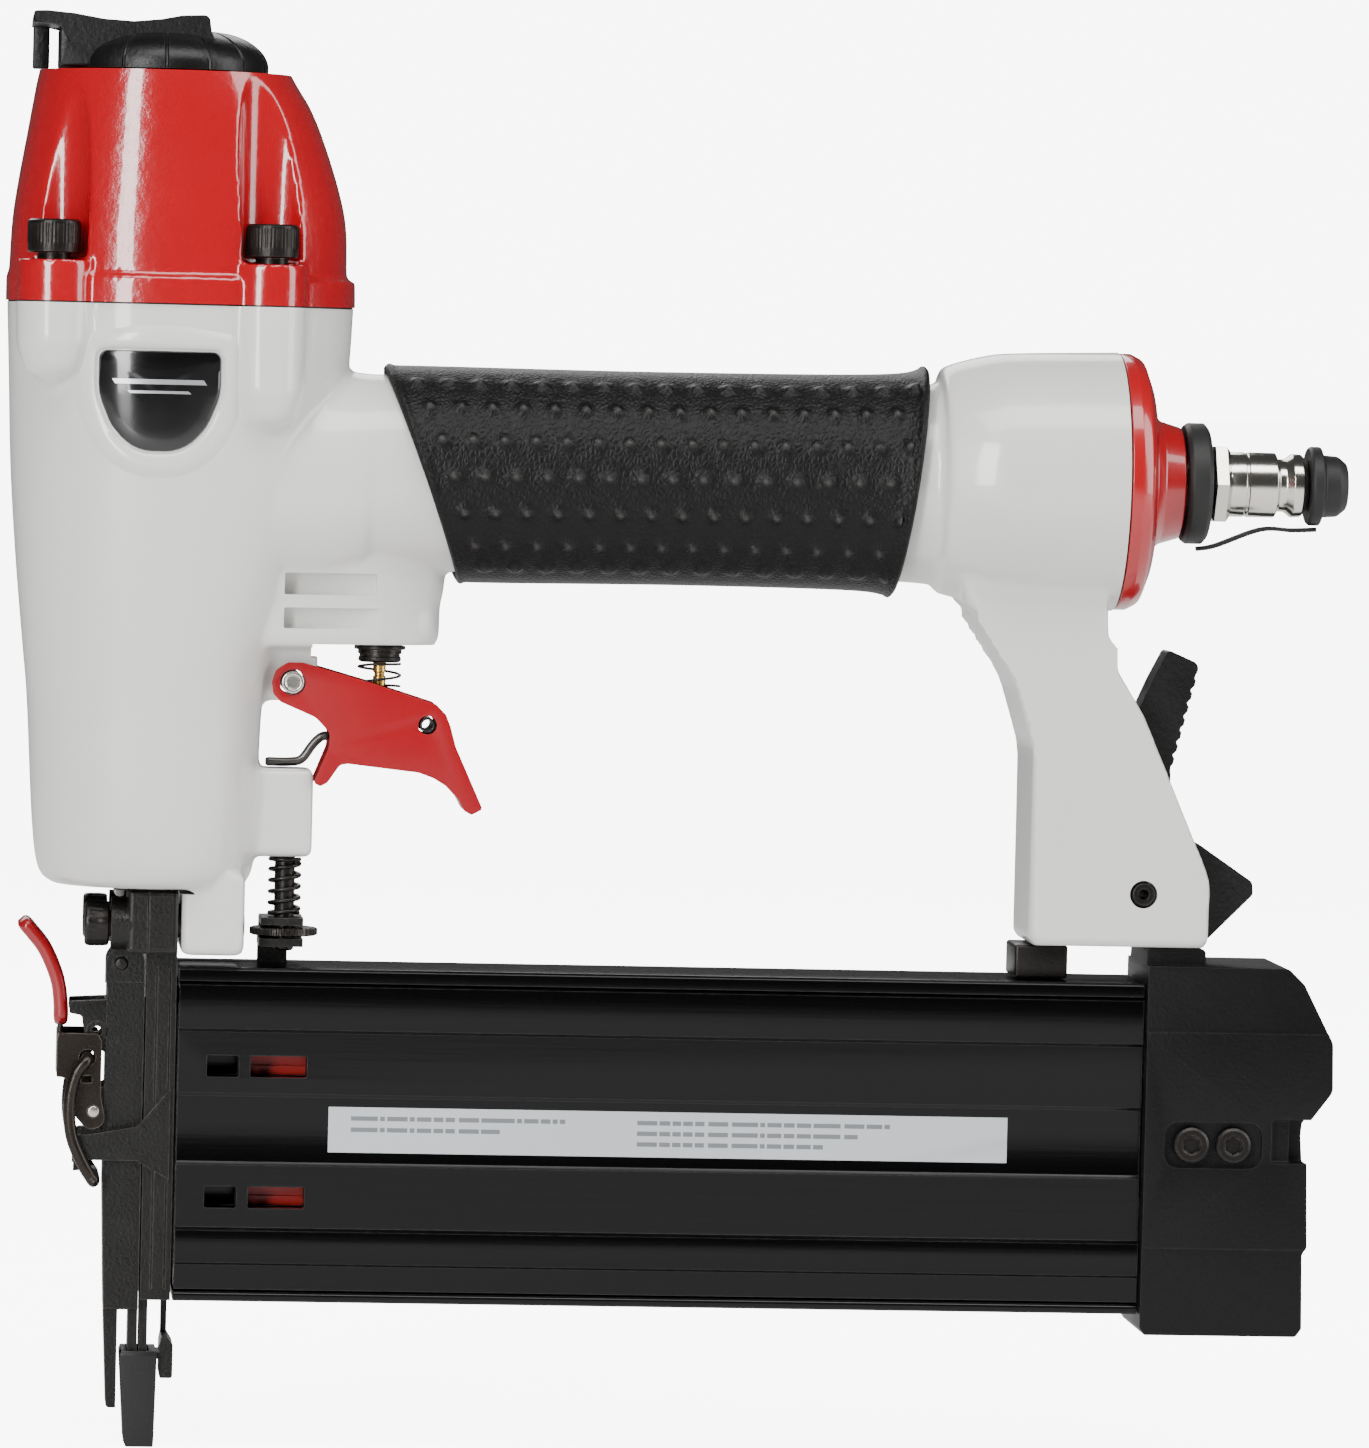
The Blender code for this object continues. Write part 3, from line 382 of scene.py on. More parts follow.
def make_settled_dust():
    """Mask of dust and fine scuffs: thin everywhere, thicker where a surface faces up."""
    tree, nodes, links, start, end = group(
        "settled_dust", [("Amount", "Float", 0.1)], [("Mask", "Float", None)])
    up = nodes.new("ShaderNodeSeparateXYZ")
    links.new(nodes.new("ShaderNodeNewGeometry").outputs["Normal"], up.inputs[0])
    patch = noise_node(nodes, links, object_place(nodes, links), 90.0, 8.0, 0.7)
    thick = math_node(nodes, links, "MULTIPLY_ADD", up.outputs["Z"], 0.35, 0.65)
    patch = math_node(nodes, links, "POWER", patch, 2.0)
    mask = math_node(nodes, links, "MULTIPLY", patch, thick)
    mask = math_node(nodes, links, "MULTIPLY", mask, start.outputs["Amount"], clamp=True)
    links.new(mask, end.inputs["Mask"])
    return tree


EDGE_WEAR = make_edge_wear()
SURFACE_GRAIN = make_surface_grain()
SETTLED_DUST = make_settled_dust()


def place_group(nodes, tree, **values):
    node = nodes.new("ShaderNodeGroup")
    node.node_tree = tree
    for socket, value in values.items():
        node.inputs[socket.replace("_", " ")].default_value = value
    return node


def mix_colour(nodes, links, factor, one, two):
    node = nodes.new("ShaderNodeMix")
    node.data_type = "RGBA"
    for socket, value in ((node.inputs[0], factor), (node.inputs[6], one), (node.inputs[7], two)):
        if hasattr(value, "is_linked"):
            links.new(value, socket)
        else:
            socket.default_value = value if isinstance(value, float) else (*value, 1)
    return node.outputs[2]


def new_look(name):
    """An empty material: (material, its nodes, its links, its shader)."""
    look = bpy.data.materials.new(name)
    look.use_nodes = True
    nodes = look.node_tree.nodes
    return look, nodes, look.node_tree.links, nodes["Principled BSDF"]


def emboss(nodes, links, shader, height, strength):
    """Raises a height pattern on the surface; at full strength its relief is 0.3 mm."""
    bump = nodes.new("ShaderNodeBump")
    bump.inputs["Strength"].default_value = strength
    bump.inputs["Distance"].default_value = 0.3 * MM
    links.new(height, bump.inputs["Height"])
    links.new(bump.outputs["Normal"], shader.inputs["Normal"])


def finish(name, colour, rough, metal=0.0, coat=0.0, coat_rough=0.05, grain=1200.0, relief=0.1,
           stretch=(1, 1, 1), mottle=0.12, mottle_scale=60.0, rough_spread=0.08, edge=None,
           edge_width=0.0004, edge_amount=0.6, dust=0.05, dust_colour=(0.12, 0.115, 0.10),
           spec=0.4):
    """A procedural finish: mottled colour, edge wear, settled dust, fine relief."""
    look, nodes, links, shader = new_look(name)
    shader.inputs["Metallic"].default_value = metal
    shader.inputs["Coat Weight"].default_value = coat
    shader.inputs["Coat Roughness"].default_value = coat_rough
    shader.inputs["Specular IOR Level"].default_value = spec
    fine = place_group(nodes, SURFACE_GRAIN, Scale=grain, Stretch=stretch,
                       Mottle_Scale=mottle_scale)
    darker = tuple(c * (1 - mottle) for c in colour)
    lighter = tuple(min(1.0, c * (1 + mottle)) for c in colour)
    paint = mix_colour(nodes, links, fine.outputs["Mottle"], darker, lighter)
    film = place_group(nodes, SETTLED_DUST, Amount=dust)
    paint = mix_colour(nodes, links, film.outputs["Mask"], paint, dust_colour)
    if edge:
        tone_layer = place_group(nodes, EDGE_WEAR, Width=edge_width, Amount=edge_amount)
        paint = mix_colour(nodes, links, tone_layer.outputs["Mask"], paint, edge)
    links.new(paint, shader.inputs["Base Color"])
    wavy = math_node(nodes, links, "MULTIPLY_ADD", fine.outputs["Mottle"], rough_spread * 2,
                     rough - rough_spread)
    dull = math_node(nodes, links, "MULTIPLY_ADD", film.outputs["Mask"], 0.5, wavy, clamp=True)
    links.new(dull, shader.inputs["Roughness"])
    emboss(nodes, links, shader, fine.outputs["Height"], relief)
    return look


def main_casting():
    column = between([(105, 17.6, 17.0), (107.5, 20.3, 19.4), (116.5, 21.7, 20.1),
                      (139, 23.1, 20.8), (150, 24.2, 22.8), (165, 25.7, 27.5), (182, 27, 32.5),
                      (200, 27.7, 35.4), (212.9, 28.2, 36.2), (216, 28.3, 36.4)])
    shell = skin([egg(z, front, rear, front) for z, front, rear in column])
    handle = [(0, 182, 20, 20), (26, 180.6, 21.5, 19.5), (38, 181.6, 19.6, 17.4),
              (44, 182.65, 18.35, 16.5), (92, 182.65, 18.35, 16.5), (141, 182.65, 18.35, 16.5),
              (147, 183.6, 21.2, 19.4), (154.7, 183.9, 23.2, 22.6), (161, 184, 23.8, 23.6),
              (180, 184.1, 24.3, 24.3), (184, 184.1, 24.4, 24.4)]
    neck = skin([oval(*row) for row in between(handle)])
    boss = [(150, 52.2, 12.4), (152, 53.5, 13.2), (158, 53.7, 13.4), (162, 54.4, 14.2),
            (172, 54.6, 15)]
    valve_boss = skin([egg(z, 24, rear, side) for z, rear, side in between(boss)])
    leg = cutout([(148, 175), (151.3, 161), (154.2, 158.9), (160.9, 145.9, 14), (164.5, 134, 10),
                  (164.5, 98.4), (165.7, 97), (197.3, 97), (198.5, 98.4), (198.5, 110, 12),
                  (185.2, 140.6), (178.2, 152, 12), (177.6, 175)], -13.3, 13.3, edge=1.6)
    lug = build_up(bar((14, -4.7, 139.85), (26, 4.7, 153), 0.5), across(*TRIGGER_PIVOT, 4.6, 3.7),
                   bar((25, -4.5, 144.1), (30.8, 4.5, 152.6), 0.5))
    shell = build_up(shell, neck, valve_boss, leg, lug,
                     bar((16, -5.5, 110.7), (30.5, 5.5, 127.2), 1),
                     bar((6.05, -14.3, 92.6), (17.95, 14.3, 108), 1.4),
                     bar((-6.2, -4.8, 102.6), (-4.1, 4.8, 107)))
    for x, y in BOSSES:
        low = 198.5 if x < 0 else 190
        build_up(shell, lathe([(0, 216), (7.4, 216), (7.2, low + 7), (5.6, low + 2, 3),
                               (0, low - 1)], (x, y, 0)))
    soften(shell, 0.7, 6)
    head = [(152, 21, 20), (156, 22, 23), (200, 24, 31), (214, 24, 31)]
    chamber = skin([egg(z, front, rear, front) for z, front, rear in head])
    tube = [(12, 182.5, 12.5, 12.5), (44, 182.65, 15.4, 13.4), (141, 182.65, 15.4, 13.4),
            (158, 184, 20.4, 20.4), (171, 184.1, 20.6, 20.6), (171.1, 184.1, 21.6, 21.6),
            (182, 184.1, 21.6, 21.6)]
    reservoir = skin([oval(*row) for row in tube])
    machine(shell, bar((-40, -40, COLUMN_TOP), (45, 40, 230)),
            bar((HANDLE_END, -40, 150), (200, 40, 220)), bar((150, -30, 80), (205, 30, 97.3)),
            upright(0, 0, 104, 153, 16.8), chamber, reservoir, upright(VALVE_X, 0, 146, 172, 4.4),
            bar((VALVE_X - 13, -18, 148), (VALVE_X + 14, 18, 150.7)),
            upright(ROD_X, 0, 107, 129, 2.3), across(*TRIGGER_PIVOT, 9, 2.4),
            across(*RELEASE_PIVOT, 16, 2.6))
    machine(shell, cutout([(181.2, 90), (181.2, 116), (177.6, 146), (178, 150.5), (215, 150.5),
                           (215, 90)], -4.6, 4.6))
    for y in (-NOSE_SCREW_Y, NOSE_SCREW_Y):
        machine(shell, pin((0, y, NOSE_SCREW_Z), (22, y, NOSE_SCREW_Z), 2.8))
    for side in (-1, 1):
        for low, high, end in [(153.6, 157.5, 44.6), (159.9, 164.0, 41.3)]:
            near, far = span(side, 8.2, 22)
            machine(shell, bar((24, near, low), (end, far, high), 0.4))
    return shell


white_coat = finish("white_powder_coat", WHITE, 0.32, coat=0.55, coat_rough=0.08, grain=260.0,
                    relief=0.035, mottle=0.025, mottle_scale=25.0, rough_spread=0.05, dust=0.05,
                    dust_colour=(0.42, 0.40, 0.36))
fit(main_casting(), "main_casting", white_coat, "housing", "white_paint", "body_housing")

# ---- Name badge ----------------------------------------------------------------------
# A domed gloss plate of black plastic, glued on the casting's side inside a raised white rim.
# Two plain silver bars are foiled on it.
def on_column(a, z, lift):
    """A point on the column's near side, a along the handle's direction and lift off the skin."""
    front = 27 + (z - 182) * 0.0389
    rear = 32.5 + (z - 182) * 0.161
    reach = rear if a > 0 else front
    return (a, -front * (1 - min(0.98, (a / reach) ** 2)) ** 0.5 - lift, z)


SHIELD = [(-11.4, 204.4, 1.6), (11, 204.4, 1.6), (11, 196.4, 9), (8.6, 190.6, 7), (4.4, 186, 8),
          (-4.8, 186, 8), (-9, 190.6, 7), (-11.4, 196.4, 9)]


def stepped(outline, step=0.7):
    """The same closed outline with points close together."""
    points = []
    for one, two in zip(outline, outline[1:] + outline[:1]):
        count = max(1, round((two - one).length / step))
        points += [one.lerp(two, k / count) for k in range(count)]
    return points


def shield_ring(grow, lift):
    middle = Vector((-0.2, 196))
    return [on_column(*(p + (p - middle).normalized() * grow), lift)
            for p in stepped(rounded(SHIELD))]


badge = skin([shield_ring(0, -1.5), shield_ring(0, 0.15), shield_ring(-0.25, 0.5),
              shield_ring(-0.8, 0.62), shield_ring(-2.5, 0.68), shield_ring(-4, 0.7),
              shield_ring(-5.5, 0.71), shield_ring(-7, 0.72), [on_column(-0.2, 196, 0.75)]])
badge_gloss = finish("badge_gloss", (0.001, 0.001, 0.0015), 0.16, coat=0.5, coat_rough=0.03,
                     relief=0.0, mottle=0.0, rough_spread=0.03, dust=0.05)
fit(badge, "name_badge_dome", badge_gloss, "housing", "badge_gloss", "name_badge")

rim_section = [(0.3, -1.5), (0.35, 0.05), (0.9, 0.55), (1.9, 0.8), (2.9, 0.75), (3.9, 0.4),
               (4.6, 0.05), (5.4, -0.3), (5.4, -1.5), (0.3, -1.5)]
badge_rim = skin([shield_ring(grow, lift) for grow, lift in rim_section], ends=False)
fit(badge_rim, "badge_rim", white_coat, "housing", "white_paint")

badge_silver = finish("badge_silver", (0.45, 0.46, 0.48), 0.3, metal=0.7, coat=0.6)
BAR_STEPS, BAR_SLANT = 40, 0.6
for number, (low, high, wide) in enumerate([(198.3, 199.2, 8.4), (196.6, 197.1, 5.6)], 1):
    corners = [(0, low, 0.4), (0, low, 0.9), (-BAR_SLANT, high, 0.9), (-BAR_SLANT, high, 0.4)]
    along = [wide * (2 * k / BAR_STEPS - 1) for k in range(BAR_STEPS + 1)]
    mark = skin([[on_column(a + shift, z, lift) for shift, z, lift in corners] for a in along])
    fit(mark, f"badge_bar_{number}", badge_silver, "housing", "badge_gloss")

# ---- Cylinder, piston and bumper -----------------------------------------------------
# Hidden inside the casting: an aluminium sleeve with its seal, a piston with its rubber ring
# and the flat steel driver pressed into it, and the rubber bumper that stops the stroke.
def dress(node, look):
    """Gives a CAD node its finish."""
    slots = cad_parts[node].data.materials
    slots.clear()
    slots.append(look)


machined = finish("machined_aluminium", (0.55, 0.55, 0.56), 0.32, metal=0.95, grain=900.0,
                  stretch=(1, 1, 12), relief=0.12, mottle=0.06, dust=0.05)
seal_rubber = finish("seal_rubber", (0.004, 0.004, 0.004), 0.55, grain=1500.0, relief=0.15,
                     mottle=0.2, dust=0.05)
bright_steel = finish("bright_steel", (0.50, 0.48, 0.45), 0.26, metal=1.0, grain=1300.0,
                      stretch=(1, 6, 1), relief=0.08, mottle=0.08, rough_spread=0.1, dust=0.05)
for node in ("cylinder", "piston", "head_valve"):
    dress(node, machined)
for node in ("cylinder_seal", "bumper", "piston_ring", "end_cap_seal"):
    dress(node, seal_rubber)
dress("driver_blade", bright_steel)

# ---- Head gasket ---------------------------------------------------------------------
# A thin fibre-rubber sheet punched to the joint's outline and clamped by the lid's screws. Its
# edge shows as a dark line under the lid.
GASKET_FACES = 212.93, 213.17
gasket = skin([egg(z, 28.1, 36.1, 28.1) for z in GASKET_FACES])
for x, y in BOSSES:
    build_up(gasket, upright(x, y, *GASKET_FACES, 7.1))
machine(gasket, upright(0, 0, 212, 214, 19.5))
for x, y in BOLTS:
    machine(gasket, upright(x, y, 212, 214, 3.3))
fit(gasket, "head_gasket_sheet", seal_rubber, "housing", "seal_rubber", "head_gasket")

# ---- Head cap ------------------------------------------------------------------------
# A die-cast lid over the head valve. Its gloss red coat pools over small casting pimples, and
# four flutes clear the screws' heads.
CAP_TOP, FLANGE_TOP = 256.0, 218.1
RED = (0.33, 0.001, 0.006)


def cap_casting():
    rows = [(211, 28.5, 36.5), (213.2, 28.5, 36.5), (217.6, 28.5, 36.4), (218.0, 28.5, 36.3),
            (218.4, 28.1, 34.9), (219.5, 28.0, 34.8), (228, 27.6, 34.5), (235, 26.7, 33),
            (244, 25.2, 30), (250, 24.2, 27.4), (254.0, 23.5, 24.9), (258, 22.6, 22.6)]
    shell = skin([egg(z, front, rear, 28.7 if z < FLANGE_TOP else min(front * 0.985, 27.6))
                  for z, front, rear in between(rows, 1.2)])
    for x, y in BOSSES:
        build_up(shell, upright(x, y, 211, 220.8, 7.2))
    for x, y in BOLTS:
        machine(shell, pin((x, y, 221), (x * 1.04, y * 1.04, 262), 6.2, 7.4))
    soften(shell, 0.55, 5)
    machine(shell, bar((-50, -50, 200), (50, 50, 213.2)), bar((-50, -50, CAP_TOP), (50, 50, 270)),
            lathe([(0, 252), (6, 252), (6, 246.5), (9, 246.5), (9, 234), (19.2, 234), (19.2, 212),
                   (0, 212)]), upright(0, 0, 250, 258, 5))
    for x, y in BOLTS:
        machine(shell, upright(x, y, 212, 223, 3.4), upright(x, y, 221.2, 223, 5.7))
    return shell


red_coat = finish("red_powder_coat", RED, 0.20, coat=0.9, coat_rough=0.05, grain=260.0,
                  relief=0.60, mottle=0.08, mottle_scale=30.0, rough_spread=0.05,
                  edge=(0.50, 0.03, 0.02), edge_amount=0.35, dust=0.05)
fit(cap_casting(), "head_cap_casting", red_coat, "housing", "red_paint", "head_cap")

# ---- Head screws ---------------------------------------------------------------------
# Four M6 socket screws clamp the lid on the casting. They are cold-headed steel with a black
# oxide finish, knurled round the head.
black_oxide = finish("black_oxide", (0.020, 0.018, 0.017), 0.34, metal=0.85, grain=1500.0,
                     relief=0.25, mottle=0.25, rough_spread=0.1, edge=(0.20, 0.18, 0.16),
                     edge_width=0.00025, edge_amount=0.7, dust=0.05)


def knurled(radius, bite, z, knurls):
    """A level ring with square-cut knurls."""
    rim = [(radius - bite * (k % 4 > 1), pi * k / (2 * knurls)) for k in range(4 * knurls)]
    return [(r * cos(a), r * sin(a), z) for r, a in rim]


def socket_screw(radius, head, shank, length, socket, depth, knurls=44):
    """A cap screw standing on z = 0 under its head, with its socket on top."""
    levels = [(0, 0.5, 0), (0.3, 0.2, 0), (head * 0.28, 0.12, 0), (head * 0.32, 0.1, 0.1),
              (head - 0.9, 0.1, 0.1), (head - 0.7, 0.12, 0), (head - 0.3, 0.25, 0),
              (head, 0.65, 0)]
    rings = [knurled(radius - shrink, bite, z, knurls) for z, shrink, bite in levels]
    screw = build_up(skin(rings), lathe([(0, 0.5), (shank, 0.5), (shank, -length + 0.6),
                                        (shank - 0.6, -length), (0, -length)], steps=32))
    return machine(screw, lathe([(0, head + 1), (socket * 1.17, head + 1),
                                 (socket * 1.17, head - 0.05), (socket, head - 0.3),
                                 (0, head - 0.3)], steps=32),
                   pin((0, 0, head - depth), (0, 0, head + 1), socket * 1.1, sides=6))


def aim(obj, at, along):
    """Stands a piece made on +Z at a place, along another direction."""
    turn = Vector(along).to_track_quat("Z", "Y").to_matrix().to_4x4()
    obj.data.transform(Matrix.Translation(at) @ turn)
    return obj


for number, (x, y) in enumerate(BOLTS, 1):
    fit(aim(socket_screw(5, 6.2, 3, 8.4, 2.5, 2.8), (x, y, 221.9), (0, 0, 1)),
        f"head_bolt_{number}", black_oxide, "housing", "black_steel", f"head_screw_{number}")

# ---- Exhaust deflector ---------------------------------------------------------------
# A glass-filled nylon cover turned by hand to blow the exhaust away. Ribs run down its dome, a
# hood with side walls opens forward, and a zinc-plated button screw holds it.
def wire(points, radius, sides=20):
    """A round wire along a smooth path, its ends slightly rounded."""
    path = [Vector(p) for p in points]
    up = Vector((0.13, 0.2, 0.97))
    rings = []
    total = len(path) - 1
    for i, p in enumerate(path):
        run = (path[min(i + 1, total)] - path[max(i - 1, 0)]).normalized()
        side = (up - run * up.dot(run)).normalized()
        up = side
        other = run.cross(side)
        r = radius * (0.72 if i in (0, total) else 1.0)
        rings.append([p + side * r * cos(2 * pi * k / sides) + other * r * sin(2 * pi * k / sides)
                      for k in range(sides)])
    return skin(rings)


def deflector():
    dome = [(263.9, 8.4), (263.4, 12.4), (262.2, 15.6), (260.4, 18.0), (258.6, 19.15),
            (257.4, 19.4)]
    dome = [(r, z) for z, r in between(dome, 0.8)]
    body = lathe([(0, 263.9)] + dome + [(19.4, 256.35), (0, 256.35)], steps=120)
    ribs = 15
    for k in range(ribs):
        a = 2 * pi * (k + 0.25) / ribs
        if cos(a) < -0.5:
            continue
        line = [(r * cos(a), r * sin(a), z) for r, z in [(7, 264.1)] + dome + [(19.4, 256)]]
        machine(body, wire(line, 0.42, 10))
    hood = cutout([(-24.4, 266.5, 0.6), (-22, 266.6), (-17, 266.2), (-11.5, 265.3), (-6, 265.0),
                   (-1, 265.5), (3, 266.3), (7.9, 266.5, 1.2), (8.3, 263.6, 1.2), (9.5, 260.5),
                   (-18, 260.5), (-19.2, 264.3), (-24.6, 264.3)], -13.5, 13.5, edge=0.5)
    build_up(body, hood, bar((-24.3, 10.2, 256.5), (-21.2, 13.5, 265), 0.4),
             bar((-19.6, -13.4, 256.5), (-3, -10.5, 264), 0.5),
             bar((-19.6, 10.4, 256.5), (-3, 13.4, 264), 0.5))
    machine(body, bar((-30, -10.3, 257.8), (-6, 10.2, 263.1), 0.4), upright(0, 0, 255, 268, 3.4),
            upright(0, 0, 259.5, 268, 6.2),
            lathe([(0, 259.3), (4.6, 259.3), (4.6, 255), (0, 255)]))
    return body


black_nylon = finish("black_nylon", (0.0022, 0.0022, 0.0022), 0.36, grain=1100.0, relief=0.35,
                     mottle=0.15, mottle_scale=90.0, rough_spread=0.1, edge=(0.05, 0.05, 0.05),
                     edge_width=0.0003, edge_amount=0.4, dust=0.03, spec=0.3)
fit(deflector(), "deflector_hood", black_nylon, "deflector", "black_plastic", "exhaust_deflector")
zinc = finish("zinc_plate", (0.45, 0.43, 0.38), 0.3, metal=0.95, relief=0.1, mottle=0.12,
              dust=0.08)
cap_screw = machine(lathe([(0, 263.4), (4.2, 263.1, 1), (5.3, 262, 0.6), (5.4, 259.95),
                           (2.9, 259.95), (2.9, 254.6), (0, 254.6)]),
                    pin((0, 0, 261.4), (0, 0, 265), 2.2, sides=6))
fit(cap_screw, "deflector_button_screw", zinc, "housing", "bright_steel", "deflector_screw")

# ---- Nose base -----------------------------------------------------------------------
# An investment-cast steel guide, phosphated nearly black, screwed up under the casting. It
# makes the back half of the channel that the driver runs in.
DOOR_HINGE, LATCH_PIVOT, BAIL_PIVOT = (-4.55, 90.4), (-9.25, 62.9), (-10.55, 72.9)
CHANNEL, HINGE_HOLE, LATCH_HOLE = 3.5, 1.34, 1.15
phosphate = finish("phosphate", (0.0040, 0.0036, 0.0030), 0.34, metal=0.15, grain=1500.0,
                   relief=0.45, mottle=0.3, mottle_scale=220.0, rough_spread=0.14,
                   edge=(0.16, 0.14, 0.12), edge_width=0.0003, edge_amount=0.6, dust=0.02,
                   spec=0.32)


def nose_base():
    base = build_up(bar((0.15, -8.6, 27.9), (5.75, 8.6, 95)),
                    bar((-3.85, -9.2, 93.6), (5.7, 9.2, 104.7), 0.5),
                    bar((0.15, -4.6, 7.4), (1.7, 4.6, 30)),
                    cutout([(-3.85, 97), (-6.6, 92), (-7.2, 89.4, 0.8), (-4.6, 87.8, 1),
                            (-2, 88.4), (-1.8, 97)], -3.9, 3.9))
    for side in (-1, 1):
        hooks = cutout([(-12.7, 59, 1.5), (-10.4, 58.6), (-1, 60.3), (5, 67.3), (5, 50.5),
                        (-1, 53.9), (-10.2, 53.9), (-10.4, 52.1), (-12.8, 51.9)],
                       *span(side, 7.1, 9.2))
        near, far = span(side, 4, 15.4)
        y, z = side * NOSE_SCREW_Y, NOSE_SCREW_Z
        build_up(base, bar((-3.7, near, 92.9), (5.6, far, 104.6), 0.9),
                 pin((-6.75, y, z), (0, y, z), 4.9), hooks)
    machine(base, bar((-1, -3.3, 6), (0.95, 3.3, 106)),
            bar((-1, -CHANNEL, 29.6), (7, CHANNEL, 81)), bar((4.1, 3.45, 20), (7, 8.1, 96)),
            across(*DOOR_HINGE, 9, HINGE_HOLE))
    for side in (-1, 1):
        y, z = side * NOSE_SCREW_Y, NOSE_SCREW_Z
        machine(base, pin((-8, y, z), (7, y, z), 2.8),
                bar((4.4, side * 8.4 - 0.3, 30), (4.75, side * 8.4 + 0.3, 90)),
                bar((1.9, side * 8.5 - 0.25, 30), (2.3, side * 8.5 + 0.25, 90)),
                bar((-0.05, side * 15.4 - 0.35, 90), (0.3, side * 15.4 + 0.35, 106)))
    return ease(base, 0.3)


fit(nose_base(), "nose_guide", phosphate, "housing", "phosphate_steel", "nose_base", angle=14)

# ---- Nose screws ---------------------------------------------------------------------
# Two M5 socket screws of black-oxide steel. They run back through the nose base's bosses into
# the main casting.
for number, y in enumerate((-NOSE_SCREW_Y, NOSE_SCREW_Y), 1):
    fit(aim(socket_screw(4.35, 4.5, 2.5, 25.1, 2.05, 2.4, 24), (-7.1, y, NOSE_SCREW_Z),
            (-1, 0, 0)), f"nose_bolt_{number}", black_oxide, "housing", "black_steel",
        f"nose_screw_{number}")

# ---- Nose door -----------------------------------------------------------------------
# The front half of the driver's channel, a phosphated steel casting hinged at its top, so that
# a jammed brad can be picked out.
def nose_door():
    door = cutout([(-7.1, 87), (-7.25, 49), (-6.6, 26), (-5.75, 7.2, 0.6), (-0.15, 7.2),
                   (-0.15, 87)], -6.7, 6.7)
    for side in (-1, 1):
        build_up(door, cutout([(-7.3, 86), (-7.3, 91.4, 2.6), (-6, 93.2, 1.5), (-1.1, 93.2, 1.2),
                               (-0.15, 91, 1), (-0.15, 86)], *span(side, 4.2, 6.6)),
                 cutout([(-6.5, 58.8), (-10, 60.3, 1.5), (-11.8, 62.9, 1.5), (-10, 66, 1.5),
                         (-6.5, 68)], *span(side, 4.4, 6.5)))
        near, far = span(side, 4.65, 9)
        machine(door, bar((-9, near, 6), (1, far, 26)))
    machine(door, bar((-3.9, -9, 6), (-1.95, 9, 25.6)), bar((-3, -9, 6), (1, 9, 14.4)),
            bar((-0.95, -3.3, 6), (1, 3.3, 88)),
            across(*DOOR_HINGE, 9, HINGE_HOLE), across(*LATCH_PIVOT, 9, LATCH_HOLE),
            bar((-8, -3.2, 30), (-6.5, 3.2, 55), 0.4))
    return ease(door, 0.35)


fit(nose_door(), "door_casting", phosphate, "nose_door", "phosphate_steel", "nose_door", angle=14)
DOOR_EYE = (-8.85, 77.7)
eye = build_up(cutout([(-6.9, 73.5), (-6.9, 83.6), (-14.0, 83.2, 0.4), (-14.0, 81.0, 0.4),
                       (-11.6, 80.6, 1), (-11.2, 77.4, 2), (-9.2, 75.0, 1.5)], -6.4, 6.4),
               across(*DOOR_EYE, 6.7, 2.0))
machine(eye, across(*DOOR_EYE, 9, 1.0), bar((-16, -4.8, 70), (-7.4, 4.8, 90)))
fit(ease(eye, 0.25), "door_eye_plates", phosphate, "nose_door", "phosphate_steel", angle=14)


def cross_pin(profile, pivot, steps=40):
    """A turned pin lying from side to side of the tool, centred on a pivot."""
    return lathe(profile, (pivot[0], 0, pivot[1]), "Y", steps)


fit(cross_pin([(0, -7.2), (1.0, -7.1, 0.3), (1.3, -6.7), (1.3, 6.7), (1.0, 7.1, 0.3), (0, 7.2)],
              DOOR_HINGE), "door_hinge_pin", phosphate, "housing", "bright_steel",
    "nose_hinge_pin")

# ---- Latch lever ---------------------------------------------------------------------
# Folded from steel sheet and phosphated, and riveted to the door. The upper tongue is dipped in
# red vinyl for the thumb.
latch_steel = finish("latch_steel", (0.022, 0.017, 0.014), 0.30, metal=0.8, grain=1400.0,
                     relief=0.2, mottle=0.3, mottle_scale=150.0, rough_spread=0.12,
                     edge=(0.34, 0.30, 0.26), edge_width=0.0003, edge_amount=0.7, dust=0.1)
red_vinyl = finish("red_vinyl", (0.26, 0.004, 0.008), 0.28, coat=0.35, coat_rough=0.12,
                   grain=500.0, relief=0.10, mottle=0.10, mottle_scale=45.0, dust=0.08)


def strip(path, half_thick, half_wide, round_ends=False):
    """A flat bar with rolled corners that follows a path in XZ; its ends may round off."""
    path = [Vector(p) for p in path]
    rings = []
    total = len(path) - 1
    for i, p in enumerate(path):
        run = (path[min(i + 1, total)] - path[max(i - 1, 0)]).normalized()
        side = Vector((run.z, 0, -run.x))
        shrink = 1.0
        if round_ends:
            near = min(i, total - i) / 4
            shrink = 0.35 + 0.65 * (1 - (1 - min(1, near)) ** 2) ** 0.5
        thick, wide = half_thick * (0.3 + 0.7 * shrink), half_wide * shrink
        soft = min(thick, wide) * 0.95
        ring = []
        for sx, sy, start in ((1, -1, 270), (-1, -1, 180), (-1, 1, 90), (1, 1, 0)):
            for k in range(7):
                a = radians(start + 90 - 15 * k)
                ring.append(p + side * (sx * (thick - soft) + soft * cos(a))
                            + Vector((0, sy * (wide - soft) + soft * sin(a), 0)))
        rings.append(ring)
    return skin(rings)


